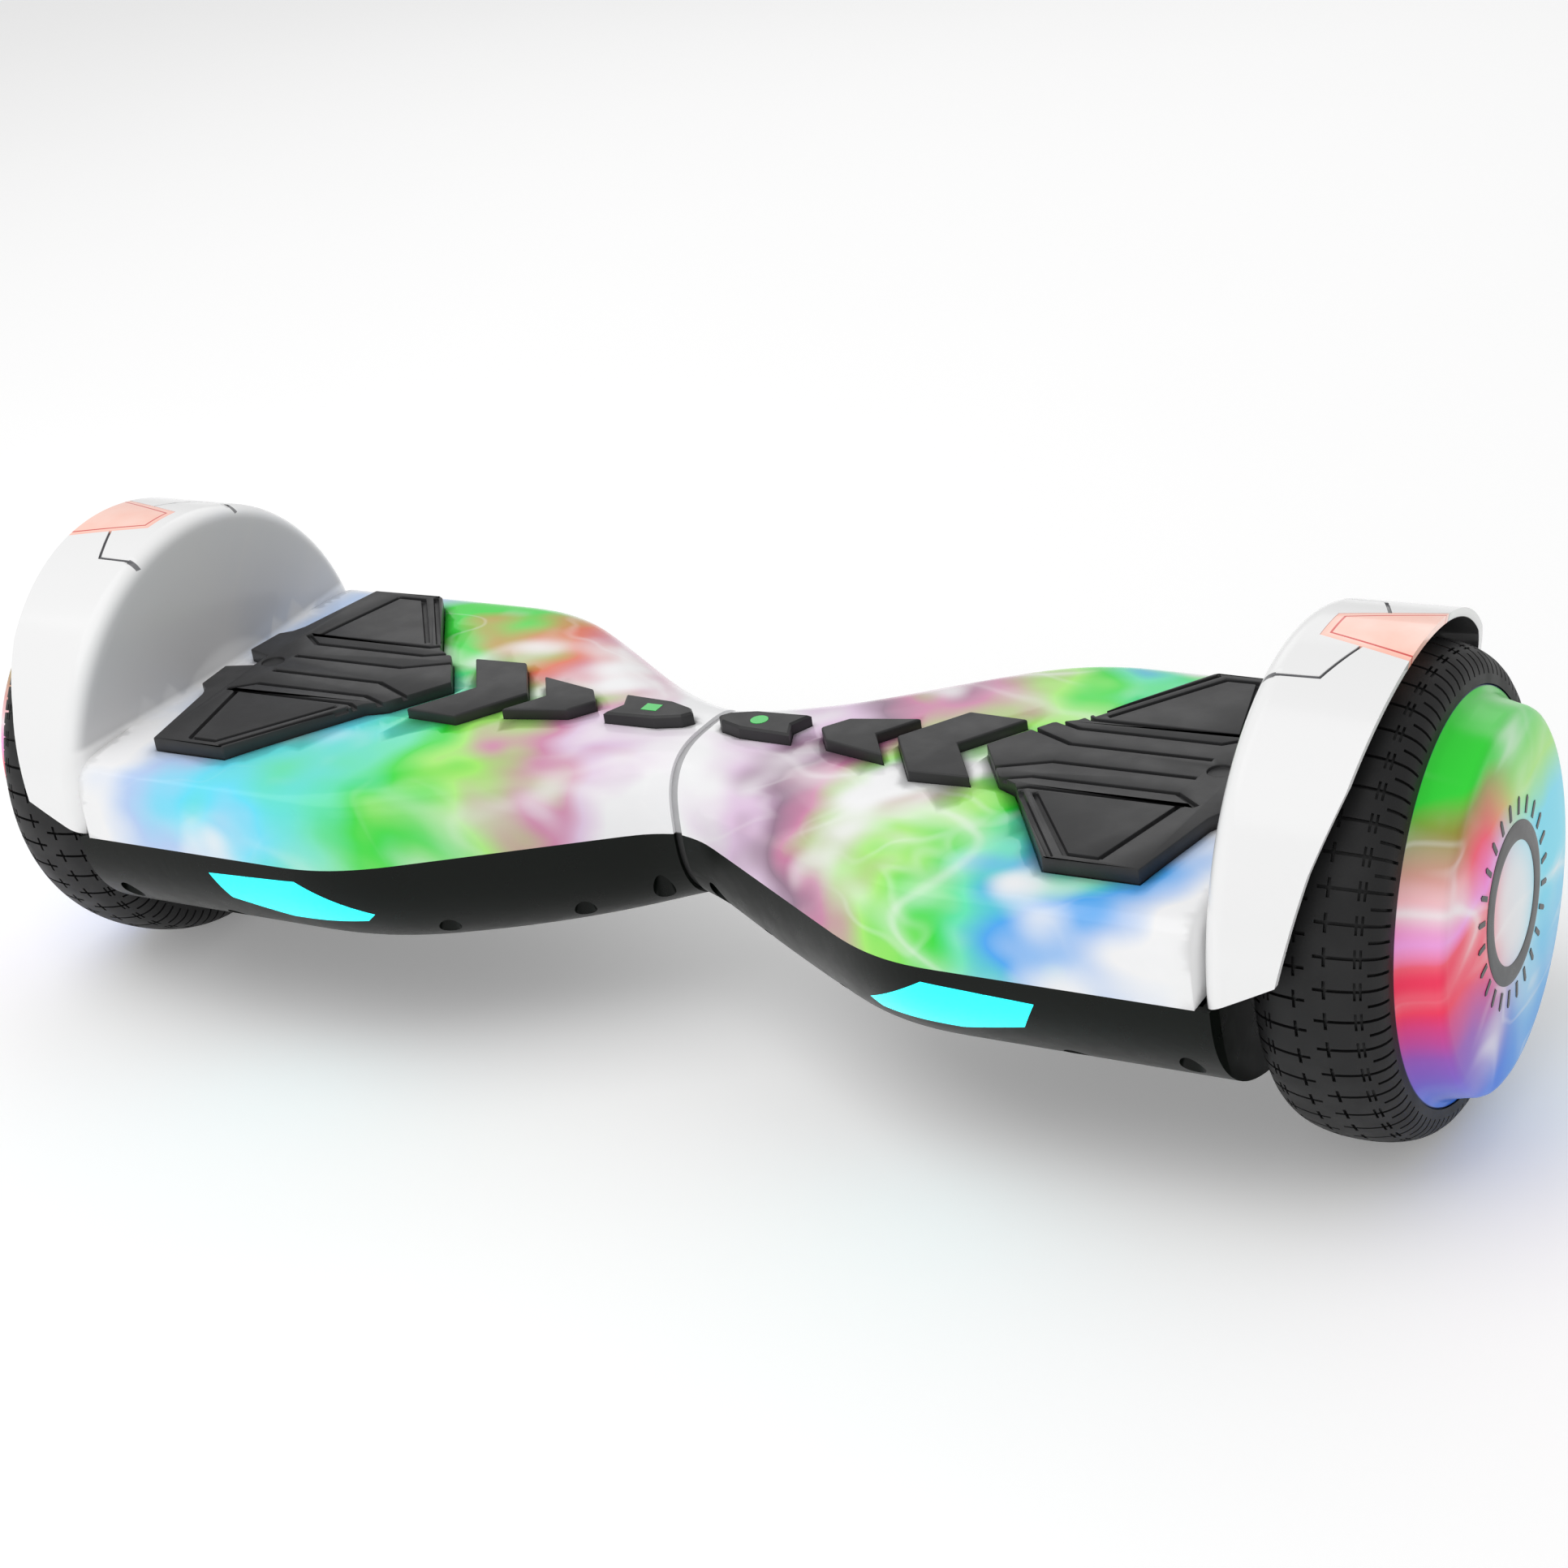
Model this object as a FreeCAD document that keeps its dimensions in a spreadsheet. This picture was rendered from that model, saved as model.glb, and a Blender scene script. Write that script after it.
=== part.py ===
import FreeCAD, Part

# Self balancing hoverboard with two 6.5 inch hub-motor wheels, in millimetres.
# X runs along the board to the right, Y to the back and Z up. The origin is on the floor
# under the middle of the board. The right half is modelled, and the left half mirrors it.

import math
import os

import Sketcher

from FreeCAD import Placement, Rotation, Vector

SIZES = {
    # wheels
    "wheel_radius": 82.5,
    "tyre_width": 44.6,
    "tyre_bore_radius": 60.0,
    "tyre_shoulder": 13.0,
    "axle_radius": 8.0,
    "running_clearance": 0.05,
    # body
    "shell_end": 229.6,
    "half_gap": 1.8,
    "shell_wall": 3.0,
    "deck_wall": 5.5,
    "deck_rise": 30.5,
    "waist_rise": 29.5,
    "belly_drop": 52.5,
    "waist_drop": 34.0,
    "body_half_depth": 91.8,
    "waist_half_depth": 29.5,
    "flare_slope": 0.6,
    "flare_start": 8.0,
    "flare_blend": 12.0,
    "flare_end": 110.0,
    # fenders
    "fender_gap": 7.0,
    "fender_wall": 3.0,
    "fender_round": 8.0,
    "fender_reach": 44.4,
    "fender_lean": 6.0,
    "well_gap": 7.9,
    # deck pads
    "pad_clearance": 0.5,
    "pad_travel": 1.5,
    "pad_height": 5.6,
    "pad_sink": 2.9,
    "pad_half_depth": 71.5,
    "trim_sink": 1.6,
    "trim_height": 5.6,
    "plunger_radius": 5.0,
    # centre pivot
    "pivot_shaft_radius": 12.0,
    "pivot_shaft_bore": 8.0,
    "pivot_shaft_length": 116.0,
    "bush_wall": 2.5,
    "pivot_swing": 15.0,
    "stop_pin_radius": 2.5,
    # screws
    "screw_radius": 1.5,
    "screw_head_radius": 3.6,
    "screw_recess_radius": 4.1,
    "boss_wall": 2.0,
    # inside
    "frame_wall": 4.0,
    "frame_height": 18.0,
    "battery_length": 96.0,
    "battery_width": 68.0,
    "battery_height": 34.0,
    "board_thickness": 1.6,
    # charge port and power button
    "port_from_centre": 150.0,
    "button_from_centre": 190.0,
    "port_drop": 15.0,
    "port_bore_radius": 7.0,
    "port_body_radius": 8.0,
    "port_depth": 13.0,
    "button_radius": 7.0,
    "button_travel": 1.2,
    "lens_gap": 0.15,
}

doc = FreeCAD.newDocument("hoverboard")
sheet = doc.addObject("Spreadsheet::Sheet", "Sizes")


class Size:
    """A length that knows its value and the expression that gives it from the sheet."""

    def __init__(self, value, text):
        self.value = float(value)
        self.text = text

    def join(self, other, sign, value):
        text = other.text if isinstance(other, Size) else repr(float(other))
        return Size(value, "(%s %s %s)" % (self.text, sign, text))

    def __add__(self, other):
        return self.join(other, "+", self.value + number(other))

    def __sub__(self, other):
        return self.join(other, "-", self.value - number(other))

    def __mul__(self, other):
        return self.join(other, "*", self.value * number(other))

    def __truediv__(self, other):
        return self.join(other, "/", self.value / number(other))

    def __neg__(self):
        return Size(-self.value, "(0 - %s)" % self.text)

    def __radd__(self, other):
        return Size(other, repr(float(other))) + self

    def __rsub__(self, other):
        return Size(other, repr(float(other))) - self

    def __rmul__(self, other):
        return self * other


def number(length):
    """The plain value of a length, which may be a Size or a number."""
    return length.value if isinstance(length, Size) else float(length)


def fill_sheet():
    """Write the driving sizes to the sheet, one named cell a row."""
    for row, (name, value) in enumerate(SIZES.items(), start=1):
        sheet.set("A%d" % row, name)
        sheet.set("B%d" % row, str(value))
        sheet.setAlias("B%d" % row, name)
    doc.recompute()


def size(name):
    return Size(sheet.get(name), "Sizes." + name)


fill_sheet()

# Lengths that several pieces share, worked out from the driving sizes.
AXLE = size("wheel_radius")
WALL = size("shell_wall")
DECK = AXLE + size("deck_rise")
DECK_INSIDE = DECK - size("deck_wall")
WHEEL_IN = size("shell_end") + size("well_gap")
WHEEL_MID = WHEEL_IN + size("tyre_width") / 2
WHEEL_OUT = WHEEL_IN + size("tyre_width")
FENDER_R = AXLE + size("fender_gap") + size("fender_wall")
FENDER_OUT = size("shell_end") + size("fender_reach")
SHAFT_R = size("pivot_shaft_radius")
BUSH_R = SHAFT_R + size("bush_wall")
FRAME_TOP = DECK_INSIDE - 3.5
FRAME_LOW = FRAME_TOP - size("frame_height")
FRAME_IN = size("half_gap") + 14.0
FRAME_OUT = size("shell_end") - 17.6
BOSS_LENGTH = 42.0
SEAT = AXLE - 14.0

finished = {}


# ---------------------------------------------------------------- document helpers

def bind(thing, path, length):
    """Set a property from a Size as an expression, or from a plain number."""
    if isinstance(length, Size):
        thing.setExpression(path, length.text)
    else:
        thing.setExpression(path, repr(float(length)))


def finish(thing, label):
    """Give a finished sub-part its label, which names its file."""
    thing.Label = label
    finished[label] = thing
    return thing


def place(thing, x, y, z):
    bind(thing, ".Placement.Base.x", x)
    bind(thing, ".Placement.Base.y", y)
    bind(thing, ".Placement.Base.z", z)


def box(name, x, y, z):
    """A block between two places on each axis, such as x=(low, high)."""
    made = doc.addObject("Part::Box", name)
    bind(made, "Length", x[1] - x[0])
    bind(made, "Width", y[1] - y[0])
    bind(made, "Height", z[1] - z[0])
    place(made, x[0], y[0], z[0])
    return made


def rod(name, axis, start, radius, length):
    """A round bar from a start point along X, Y or Z."""
    made = doc.addObject("Part::Cylinder", name)
    turn = {"X": Rotation(Vector(0, 1, 0), 90),
            "Y": Rotation(Vector(1, 0, 0), -90),
            "Z": Rotation()}[axis]
    made.Placement = Placement(Vector(), turn)
    bind(made, "Radius", radius)
    bind(made, "Height", length)
    place(made, *start)
    return made


def cut(name, base, tool):
    made = doc.addObject("Part::Cut", name)
    made.Base = base
    made.Tool = tool
    return made


def fuse(name, pieces):
    made = doc.addObject("Part::MultiFuse", name)
    made.Shapes = pieces
    return made


def group(name, pieces):
    """Separate solids kept in one node, such as a set of screws."""
    made = doc.addObject("Part::Compound", name)
    made.Links = pieces
    return made


def body(label):
    return finish(doc.addObject("PartDesign::Body", label), label)


def sketch(owner, name, role, offset=0.0):
    """A sketch on one of the body's own origin planes, moved along that plane's normal."""
    made = owner.newObject("Sketcher::SketchObject", name)
    plane = [feature for feature in owner.Origin.OriginFeatures if feature.Role == role][0]
    made.AttachmentSupport = [(plane, "")]
    made.MapMode = "FlatFace"
    bind(made, ".AttachmentOffset.Base.z", offset)
    return made


def pin_point(drawing, geometry, vertex, point):
    """Hold one vertex of a sketch at a place given by two lengths."""
    for kind, length in (("DistanceX", point[0]), ("DistanceY", point[1])):
        index = drawing.addConstraint(
            Sketcher.Constraint(kind, geometry, vertex, number(length)))
        if isinstance(length, Size):
            drawing.setExpression("Constraints[%d]" % index, length.text)


def polygon(drawing, points):
    """A closed outline of straight lines, with every corner held by the sheet."""
    ends = [Vector(number(a), number(b), 0) for a, b in points]
    first = drawing.GeometryCount
    count = len(ends)
    for i in range(count):
        drawing.addGeometry(Part.LineSegment(ends[i], ends[(i + 1) % count]), False)
    for i in range(count):
        drawing.addConstraint(
            Sketcher.Constraint("Coincident", first + i, 2, first + (i + 1) % count, 1))
    for i, point in enumerate(points):
        pin_point(drawing, first + i, 1, point)


def circle(drawing, centre, radius):
    made = Part.Circle(Vector(number(centre[0]), number(centre[1]), 0),
                       Vector(0, 0, 1), number(radius))
    index = drawing.addGeometry(made, False)
    pin_point(drawing, index, 3, centre)
    held = drawing.addConstraint(Sketcher.Constraint("Radius", index, number(radius)))
    if isinstance(radius, Size):
        drawing.setExpression("Constraints[%d]" % held, radius.text)


def pad(owner, name, profile, length, reverse=False):
    made = owner.newObject("PartDesign::Pad", name)
    made.Profile = profile
    bind(made, "Length", length)
    made.Reversed = reverse
    owner.Tip = made
    return made


def pocket(owner, name, profile, length, reverse=False):
    """A pocket that has to remove material, so one that cuts nothing is an error."""
    doc.recompute()
    before = owner.Shape.Volume
    made = owner.newObject("PartDesign::Pocket", name)
    made.Profile = profile
    bind(made, "Length", length)
    made.Reversed = reverse
    owner.Tip = made
    doc.recompute()
    if owner.Shape.Volume > before - 0.5:
        raise RuntimeError("%s cuts nothing from %s" % (name, owner.Label))
    return made


def turned(label, profile_points):
    """A body turned about the wheel axle, from points (x, distance from the axle)."""
    made = body(label)
    drawing = sketch(made, label + "_profile", "XZ_Plane")
    polygon(drawing, [(x, r) for x, r in profile_points])
    spin = made.newObject("PartDesign::Revolution", label + "_turn")
    spin.Profile = drawing
    spin.ReferenceAxis = (drawing, ["H_Axis"])
    spin.Angle = 360
    made.Tip = spin
    bind(made, ".Placement.Base.z", AXLE)
    doc.recompute()
    return made


def round_edges(owner, name, kind, amount, wanted):
    """Fillet or chamfer the edges of the tip that a test picks out."""
    doc.recompute()
    tip = owner.Tip
    names = ["Edge%d" % (i + 1) for i, edge in enumerate(tip.Shape.Edges) if wanted(edge)]
    made = owner.newObject("PartDesign::" + kind, name)
    made.Base = (tip, names)
    bind(made, "Radius" if kind == "Fillet" else "Size", amount)
    owner.Tip = made
    doc.recompute()
    return made


def mirrored(label, source):
    """The left-hand piece that mirrors a right-hand one across the middle of the board."""
    made = doc.addObject("Part::Mirroring", label)
    made.Source = source
    made.Base = Vector(0, 0, 0)
    made.Normal = Vector(1, 0, 0)
    return finish(made, label)


def feature(label, shape):
    """A free-form piece, whose shape Part's own functions make from the sheet's sizes."""
    made = doc.addObject("Part::Feature", label)
    made.Shape = shape
    return made


# ---------------------------------------------------------------- outer form of one half

def soft_max(a, b, blend):
    """The larger of two lengths, rounded where they cross."""
    near = max(blend - abs(a - b), 0.0) / blend
    return max(a, b) + near * near * blend / 4


def half_depth(x):
    """Half the front-to-back depth of the body at x: a narrow waist, a flare, a full end."""
    flare = number(size("waist_half_depth"))
    flare += number(size("flare_slope")) * (x - number(size("flare_start")))
    wide = soft_max(number(size("waist_half_depth")), flare, 4.0)
    return -soft_max(-number(size("body_half_depth")), -wide, number(size("flare_blend")))


def flare_share(x):
    """1 at the middle of the board, falling to 0 where the flare ends."""
    return max(0.0, 1.0 - x / number(size("flare_end"))) ** 2


def deck_rise(x):
    full = number(size("deck_rise"))
    return full + (number(size("waist_rise")) - full) * flare_share(x)


def belly_drop(x):
    full = number(size("belly_drop"))
    return full + (number(size("waist_drop")) - full) * flare_share(x)


def deck_power(x):
    """How square the deck's edge is: nearly round at the waist, crisp at the feet."""
    share = min(max((x - 30.0) / 110.0, 0.0), 1.0)
    return 3.2 + 5.8 * share * share * (3 - 2 * share)


BELLY_POWER = 2.3
SECTION_POINTS = 45


def section(x, inset, height_inset, top):
    """Points of half a section at x, from front to back, over the deck or under the belly."""
    depth = half_depth(x) - inset
    height = (deck_rise(x) if top else belly_drop(x)) - height_inset
    power = deck_power(x) if top else BELLY_POWER
    fine = []
    for i in range(721):
        angle = math.pi * i / 720
        along = round(-math.cos(angle), 12)
        up = round(math.sin(angle), 12)
        across = math.copysign(abs(along) ** (2 / power), along)
        fine.append((depth * across, height * up ** (2 / power)))
    run = [0.0]
    for a, b in zip(fine, fine[1:]):
        run.append(run[-1] + math.dist(a, b))
    points = []
    step = 0
    for i in range(SECTION_POINTS):
        target = run[-1] * i / (SECTION_POINTS - 1)
        while step < len(run) - 2 and run[step + 1] < target:
            step += 1
        share = (target - run[step]) / (run[step + 1] - run[step])
        y = fine[step][0] + share * (fine[step + 1][0] - fine[step][0])
        z = fine[step][1] + share * (fine[step + 1][1] - fine[step][1])
        points.append(Vector(x, y, AXLE.value + (z if top else -z)))
    return points


def stations(start, end):
    """Places along X for the sections, close together through the flare."""
    count = max(8, int((end - start) / 8.0))
    return [start + (end - start) * i / count for i in range(count + 1)]


def clamped_knots(count):
    """Even knots for a cubic spline through its first and last of this many poles."""
    knots = list(range(count - 2))
    return [float(knot) for knot in knots], [4] + [1] * (len(knots) - 2) + [4]


def smooth_skin(grid):
    """A cubic surface drawn by a grid of poles, which can't ripple past them."""
    knots_u, mults_u = clamped_knots(len(grid))
    knots_v, mults_v = clamped_knots(len(grid[0]))
    skin = Part.BSplineSurface()
    skin.buildFromPolesMultsKnots(grid, mults_u, mults_v, knots_u, knots_v, False, False, 3, 3)
    return skin


def smooth_line(points):
    """A cubic curve drawn by its poles, as an edge."""
    knots, mults = clamped_knots(len(points))
    curve = Part.BSplineCurve()
    curve.buildFromPolesMultsKnots(points, mults, knots, False, 3)
    return curve.toShape()


def form(start, end, inset, height_inset, top):
    """The solid of the body's form above or below the axle plane, taken in by the insets."""
    grid = [section(x, inset, height_inset, top) for x in stations(start, end)]
    face = smooth_skin(grid).toShape()
    faces = [face]
    rims = {"front": [], "back": [], "start": [], "end": []}
    for edge in face.Edges:
        middle = edge.valueAt((edge.FirstParameter + edge.LastParameter) / 2)
        xs = [vertex.Point.x for vertex in edge.Vertexes]
        if abs(xs[0] - start) < 1e-6 and abs(xs[-1] - start) < 1e-6:
            rims["start"].append(edge)
        elif abs(xs[0] - end) < 1e-6 and abs(xs[-1] - end) < 1e-6:
            rims["end"].append(edge)
        elif middle.y < 0:
            rims["front"].append(edge)
        else:
            rims["back"].append(edge)
    closing = {}
    for name, x in (("start", start), ("end", end)):
        arc = rims[name][0]
        ends = [vertex.Point for vertex in arc.Vertexes]
        closing[name] = Part.LineSegment(ends[0], ends[1]).toShape()
        faces.append(Part.Face(Part.Wire([arc, closing[name]])))
    around = [rims["front"][0], closing["end"], rims["back"][0], closing["start"]]
    rim = Part.Wire(Part.__sortEdges__(around))
    faces.append(Part.Face(rim))
    shell = Part.makeShell(faces)
    shell.sewShape()
    solid = Part.makeSolid(shell)
    if solid.Volume < 0:
        solid.reverse()
    return solid


def spun(points, low_angle, sweep):
    """A solid turned about the axle from points (x, radius); angle 0 points to the front."""
    corners = [Vector(x, -r, AXLE.value) for x, r in points]
    face = Part.Face(Part.makePolygon(corners + corners[:1]))
    centre = Vector(0, 0, AXLE.value)
    face.rotate(centre, Vector(1, 0, 0), low_angle)
    return face.revolve(centre, Vector(1, 0, 0), sweep)


def shoulder(x, radius, bend, steps=8):
    """Points of a quarter round from an upright wall at x to a crown of this radius."""
    points = []
    for i in range(steps + 1):
        angle = math.pi / 2 * i / steps
        points.append((x + bend * (1 - math.cos(angle)), radius - bend * (1 - math.sin(angle))))
    return points


# ---------------------------------------------------------------- shells and their screws

SHELL_START = size("half_gap").value
SHELL_END = size("shell_end").value
CAVITY_END = SHELL_END - 8.6
AXLE_Z = AXLE.value
WELL_WALL = SHELL_END - 4.6
WELL_RIM = FENDER_R.value - size("fender_wall").value
LEAN = size("fender_lean").value
BEND = size("fender_round").value

# Screws that hold the lower shell up to the upper one: (x, distance from the middle plane).
SCREWS = [(12.5, 25.5), (41.0, 37.0), (85.0, 62.0), (SHELL_END - 54.6, 75.0),
          (SHELL_END - 10.1, 82.5)]
SCREW_PLACES = [(x, side * y) for x, y in SCREWS for side in (-1, 1)]


def upright(x, y, low, high, radius):
    return Part.makeCylinder(radius, high - low, Vector(x, y, low))


def prism_y(points, low, high):
    """A prism along Y from an outline of (x, z) points."""
    corners = [Vector(x, low, z) for x, z in points]
    face = Part.Face(Part.makePolygon(corners + corners[:1]))
    return face.extrude(Vector(0, high - low, 0))


def prism_z(points, low, high):
    """A prism along Z from an outline of (x, y) points."""
    corners = [Vector(number(x), number(y), low) for x, y in points]
    face = Part.Face(Part.makePolygon(corners + corners[:1]))
    return face.extrude(Vector(0, 0, high - low))


def fender_outside():
    """The round fender as one solid, from the deck's end out over the wheel."""
    lean_top = WELL_WALL - 3.0 + LEAN
    profile = [(WELL_WALL - 12.0, 0), (WELL_WALL - 3.0, 18.0)]
    profile += shoulder(lean_top, FENDER_R.value, BEND)
    profile += [(FENDER_OUT.value + 6, FENDER_R.value), (FENDER_OUT.value + 6, 0)]
    return spun(profile, 0, -180)


def wheel_well():
    """The space that the wheel turns in, which no shell reaches into."""
    lean_top = WELL_WALL + LEAN
    bend = BEND - size("fender_wall").value
    profile = [(WELL_WALL, 0), (WELL_WALL, 18.0)]
    profile += shoulder(lean_top, WELL_RIM, bend)
    profile += [(FENDER_OUT.value + 30, WELL_RIM), (FENDER_OUT.value + 30, 0)]
    return spun(profile, 0, 360)


def fender_edge():
    """What is trimmed off outside the fender's swept edge, as an outline seen from the front."""
    low = SHELL_END
    reach = FENDER_OUT.value
    top = FENDER_R.value
    edge = [(low, AXLE_Z - 1), (low, AXLE_Z), (low + 23.4, AXLE_Z + 0.13 * top)]
    edge += [(reach - 12.8, AXLE_Z + 0.49 * top), (reach - 5.4, AXLE_Z + 0.72 * top)]
    edge += [(reach, AXLE_Z + top), (reach, AXLE_Z + top + 2)]
    return edge + [(reach + 40, AXLE_Z + top + 2), (reach + 40, AXLE_Z - 1)]


# Deck outlines as (x, distance from the middle plane) for the side nearer the back.
PAD_HALF = size("pad_half_depth")
PAD_START = SHELL_END - 116.1
FOOT_PAD = [(PAD_START, 0), (PAD_START + 15.0, 21.5), (PAD_START + 23.0, 25.5),
            (PAD_START + 54.5, PAD_HALF), (PAD_START + 88.0, PAD_HALF), (PAD_START + 95.5, 33.0),
            (PAD_START + 98.0, 28.0), (PAD_START + 102.5, 24.5), (PAD_START + 104.0, 8.0),
            (PAD_START + 92.5, 4.5)]
BIG_CHEVRON = [(78.5, 0), (95.1, 24.3), (118.2, 23.2), (102.1, 0)]
SMALL_CHEVRON = [(47.9, 0), (54.7, 9.2), (80.5, 15.1), (70.0, 0)]
INDICATOR_PAD = [(5.5, 0), (8.5, 3.6), (18.0, 7.0), (39.3, 8.3), (35.7, 0)]


def both_sides(points):
    """A whole outline from its back half: the front half mirrors it."""
    front = [(x, -y) for x, y in points if number(y) > 0]
    return points + front[::-1]


def offset(points, gap):
    """An outline moved outwards by a gap on every side, with its corners kept sharp."""
    count = len(points)
    spot = [(number(a), number(b)) for a, b in points]
    area = sum(spot[i][0] * spot[(i + 1) % count][1] - spot[(i + 1) % count][0] * spot[i][1]
               for i in range(count))
    side = math.copysign(gap, area)
    moved = []
    for i in range(count):
        before, here, after = spot[i - 1], spot[i], spot[(i + 1) % count]
        a = math.atan2(here[1] - before[1], here[0] - before[0])
        b = math.atan2(after[1] - here[1], after[0] - here[0])
        turn = (b - a + math.pi) % (2 * math.pi) - math.pi
        reach = side / math.cos(turn / 2)
        middle = a + turn / 2
        moved.append((here[0] + reach * math.sin(middle), here[1] - reach * math.cos(middle)))
    return moved


def grown(points, gap, low, high):
    """A prism on an outline that is offset outwards by a gap."""
    return prism_z(offset(points, gap), low, high)


PAD_FLOOR = DECK - size("pad_sink")
PAD_LOW = PAD_FLOOR + size("pad_travel") + 0.7
TRIM_LOW = DECK - size("trim_sink")
PLUNGER_X = PAD_START + 51.5
PLUNGERS = [(PLUNGER_X, 45.0), (PLUNGER_X, -45.0)]


def lens_outline(gap):
    """The tail lens on the fender's crown, seen from above, taken in by a gap."""
    start = SHELL_END + 11.3 + gap
    reach = FENDER_OUT.value + 2
    return [(start, -8.5 + gap / 2), (reach, -19.4 + gap), (reach, 19.4 - gap),
            (start, 8.5 - gap / 2)]


# The light bar in the lower shell's front wall, seen from the front as (x, z below the axle).
LIGHT_BAR = [(103.6, -21.0), (129.4, -5.8), (169.8, -7.6), (164.0, -18.6), (139.6, -24.9),
             (107.5, -24.4)]


def light_prism(gap):
    """A prism through the front wall on the light bar's outline, taken in by a gap."""
    outline = [(x, AXLE_Z + z) for x, z in offset(LIGHT_BAR, -gap)]
    return prism_y(outline, -200, -50)


def top_shell():
    """The white upper shell: deck and fender in one moulding, open underneath."""
    solid = form(SHELL_START, SHELL_END - 3.6, 0, 0, True).fuse(fender_outside())
    inside = form(SHELL_START + WALL.value, CAVITY_END, WALL.value,
                  size("deck_wall").value, True)
    boss = size("screw_radius").value + size("boss_wall").value
    posts = [upright(x, y, AXLE_Z, DECK_INSIDE.value + 1.0, boss) for x, y in SCREW_PLACES]
    kept = Part.makeCompound(posts).common(form(SHELL_START, CAVITY_END, 1.0, 1.0, True))
    solid = solid.cut(inside).fuse(kept)
    tools = [wheel_well(), prism_y(fender_edge(), -150, 150)]
    for x, y in SCREW_PLACES:
        tools.append(upright(x, y, AXLE_Z - 1, SEAT.value + 28.5, size("screw_radius").value))
    tools.append(Part.makeCylinder(size("axle_radius").value + 1.0, 60,
                                   Vector(CAVITY_END - 10, 0, AXLE_Z), Vector(1, 0, 0)))
    tools.append(Part.makeCylinder(BUSH_R.value + 1.0, 12, Vector(0, 0, AXLE_Z), Vector(1, 0, 0)))
    tools.append(prism_z(lens_outline(0), AXLE_Z + 60, AXLE_Z + 120))
    gap = size("pad_clearance").value
    tools.append(grown(both_sides(FOOT_PAD), gap, PAD_FLOOR.value, DECK.value + 20))
    for outline in (BIG_CHEVRON, SMALL_CHEVRON, INDICATOR_PAD):
        tools.append(grown(both_sides(outline), 0.3, TRIM_LOW.value, DECK.value + 20))
    for x, y in PLUNGERS:
        tools.append(upright(x, y, AXLE_Z + 10, DECK.value, size("plunger_radius").value + 0.5))
    return solid.cut(tools).removeSplitter()


def bottom_shell(port_side):
    """The black lower shell: a tray with screw posts, the light bar's window and, on one
    half, the cups for the charge port and the power button."""
    solid = form(SHELL_START, SHELL_END + 1.4, 0, 0, False)
    cavity = form(SHELL_START + WALL.value, SHELL_END - 2.0, WALL.value, WALL.value, False)
    post = size("screw_recess_radius").value + size("boss_wall").value
    posts = [upright(x, y, AXLE_Z - 60, AXLE_Z - 0.5, post) for x, y in SCREW_PLACES]
    inner = form(SHELL_START, SHELL_END + 1.0, 1.0, 1.0, False)
    additions = [Part.makeCompound(posts).common(inner)]
    tools = [wheel_well()]
    for x, y in SCREW_PLACES:
        tools.append(upright(x, y, 0, SEAT.value, size("screw_recess_radius").value))
        tools.append(upright(x, y, 0, AXLE_Z + 1, size("screw_radius").value))
    tools.append(Part.makeCylinder(size("axle_radius").value + 1.0, 60,
                                   Vector(CAVITY_END - 10, 0, AXLE_Z), Vector(1, 0, 0)))
    tools.append(Part.makeCylinder(BUSH_R.value + 1.0, 12, Vector(0, 0, AXLE_Z), Vector(1, 0, 0)))
    tools.append(light_prism(0))
    if port_side:
        for x, radius in ((PORT_X, PORT_CUP), (BUTTON_X, BUTTON_CUP)):
            additions.append(port_rod(x, radius + WALL.value, -CUP_DEPTH - WALL.value, 20)
                             .common(inner))
            tools.append(port_rod(x, radius, -CUP_DEPTH, 20))
        tools.append(port_rod(PORT_X, PORT_BODY, -40, 20))
        tools.append(port_rod(BUTTON_X, BUTTON_STEM + 0.4, -40, 20))
        tools.append(flap_barrel(BARREL_R + 0.6, 10.0))
    return solid.cut(cavity).fuse(additions).cut(tools).removeSplitter()


# The charge port and the power button stand square to the back wall, in two cups.
PORT_X = size("port_from_centre").value
BUTTON_X = size("button_from_centre").value
PORT_Z = AXLE_Z - size("port_drop").value
PORT_Y = size("body_half_depth").value - 3.4
PORT_TILT = 19.0
PORT_OUT = Vector(0, math.cos(math.radians(PORT_TILT)), -math.sin(math.radians(PORT_TILT)))
PORT_UP = Vector(0, math.sin(math.radians(PORT_TILT)), math.cos(math.radians(PORT_TILT)))
PORT_BODY = size("port_body_radius").value
PORT_CUP = PORT_BODY + 3.5
BUTTON_CUP = size("button_radius").value + 0.4
BUTTON_STEM = 3.0
CUP_DEPTH = 5.0
BARREL_R = 1.3
FLAP_FRONT = -0.2
FLAP_THICK = 1.8


def port_point(x, up, out):
    """A point by its height and its reach from the wall, along the port's own axes."""
    return Vector(x, PORT_Y, PORT_Z) + PORT_UP * up + PORT_OUT * out


def port_rod(x, radius, low, high):
    return Part.makeCylinder(radius, high - low, port_point(x, 0, low), PORT_OUT)


def flap_barrel(radius, length):
    """The charge flap's hinge barrel, along X above the port."""
    start = port_point(PORT_X - length / 2, PORT_CUP - 0.2, FLAP_FRONT - FLAP_THICK / 2)
    return Part.makeCylinder(radius, length, start, Vector(1, 0, 0))


def light_bar():
    """The clear bar that fills the lower shell's window, flush with its wall."""
    skin = form(SHELL_START, SHELL_END, 0, 0, False).cut(
        form(SHELL_START, SHELL_END, WALL.value, WALL.value, False))
    return skin.common(light_prism(size("lens_gap").value))


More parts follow.
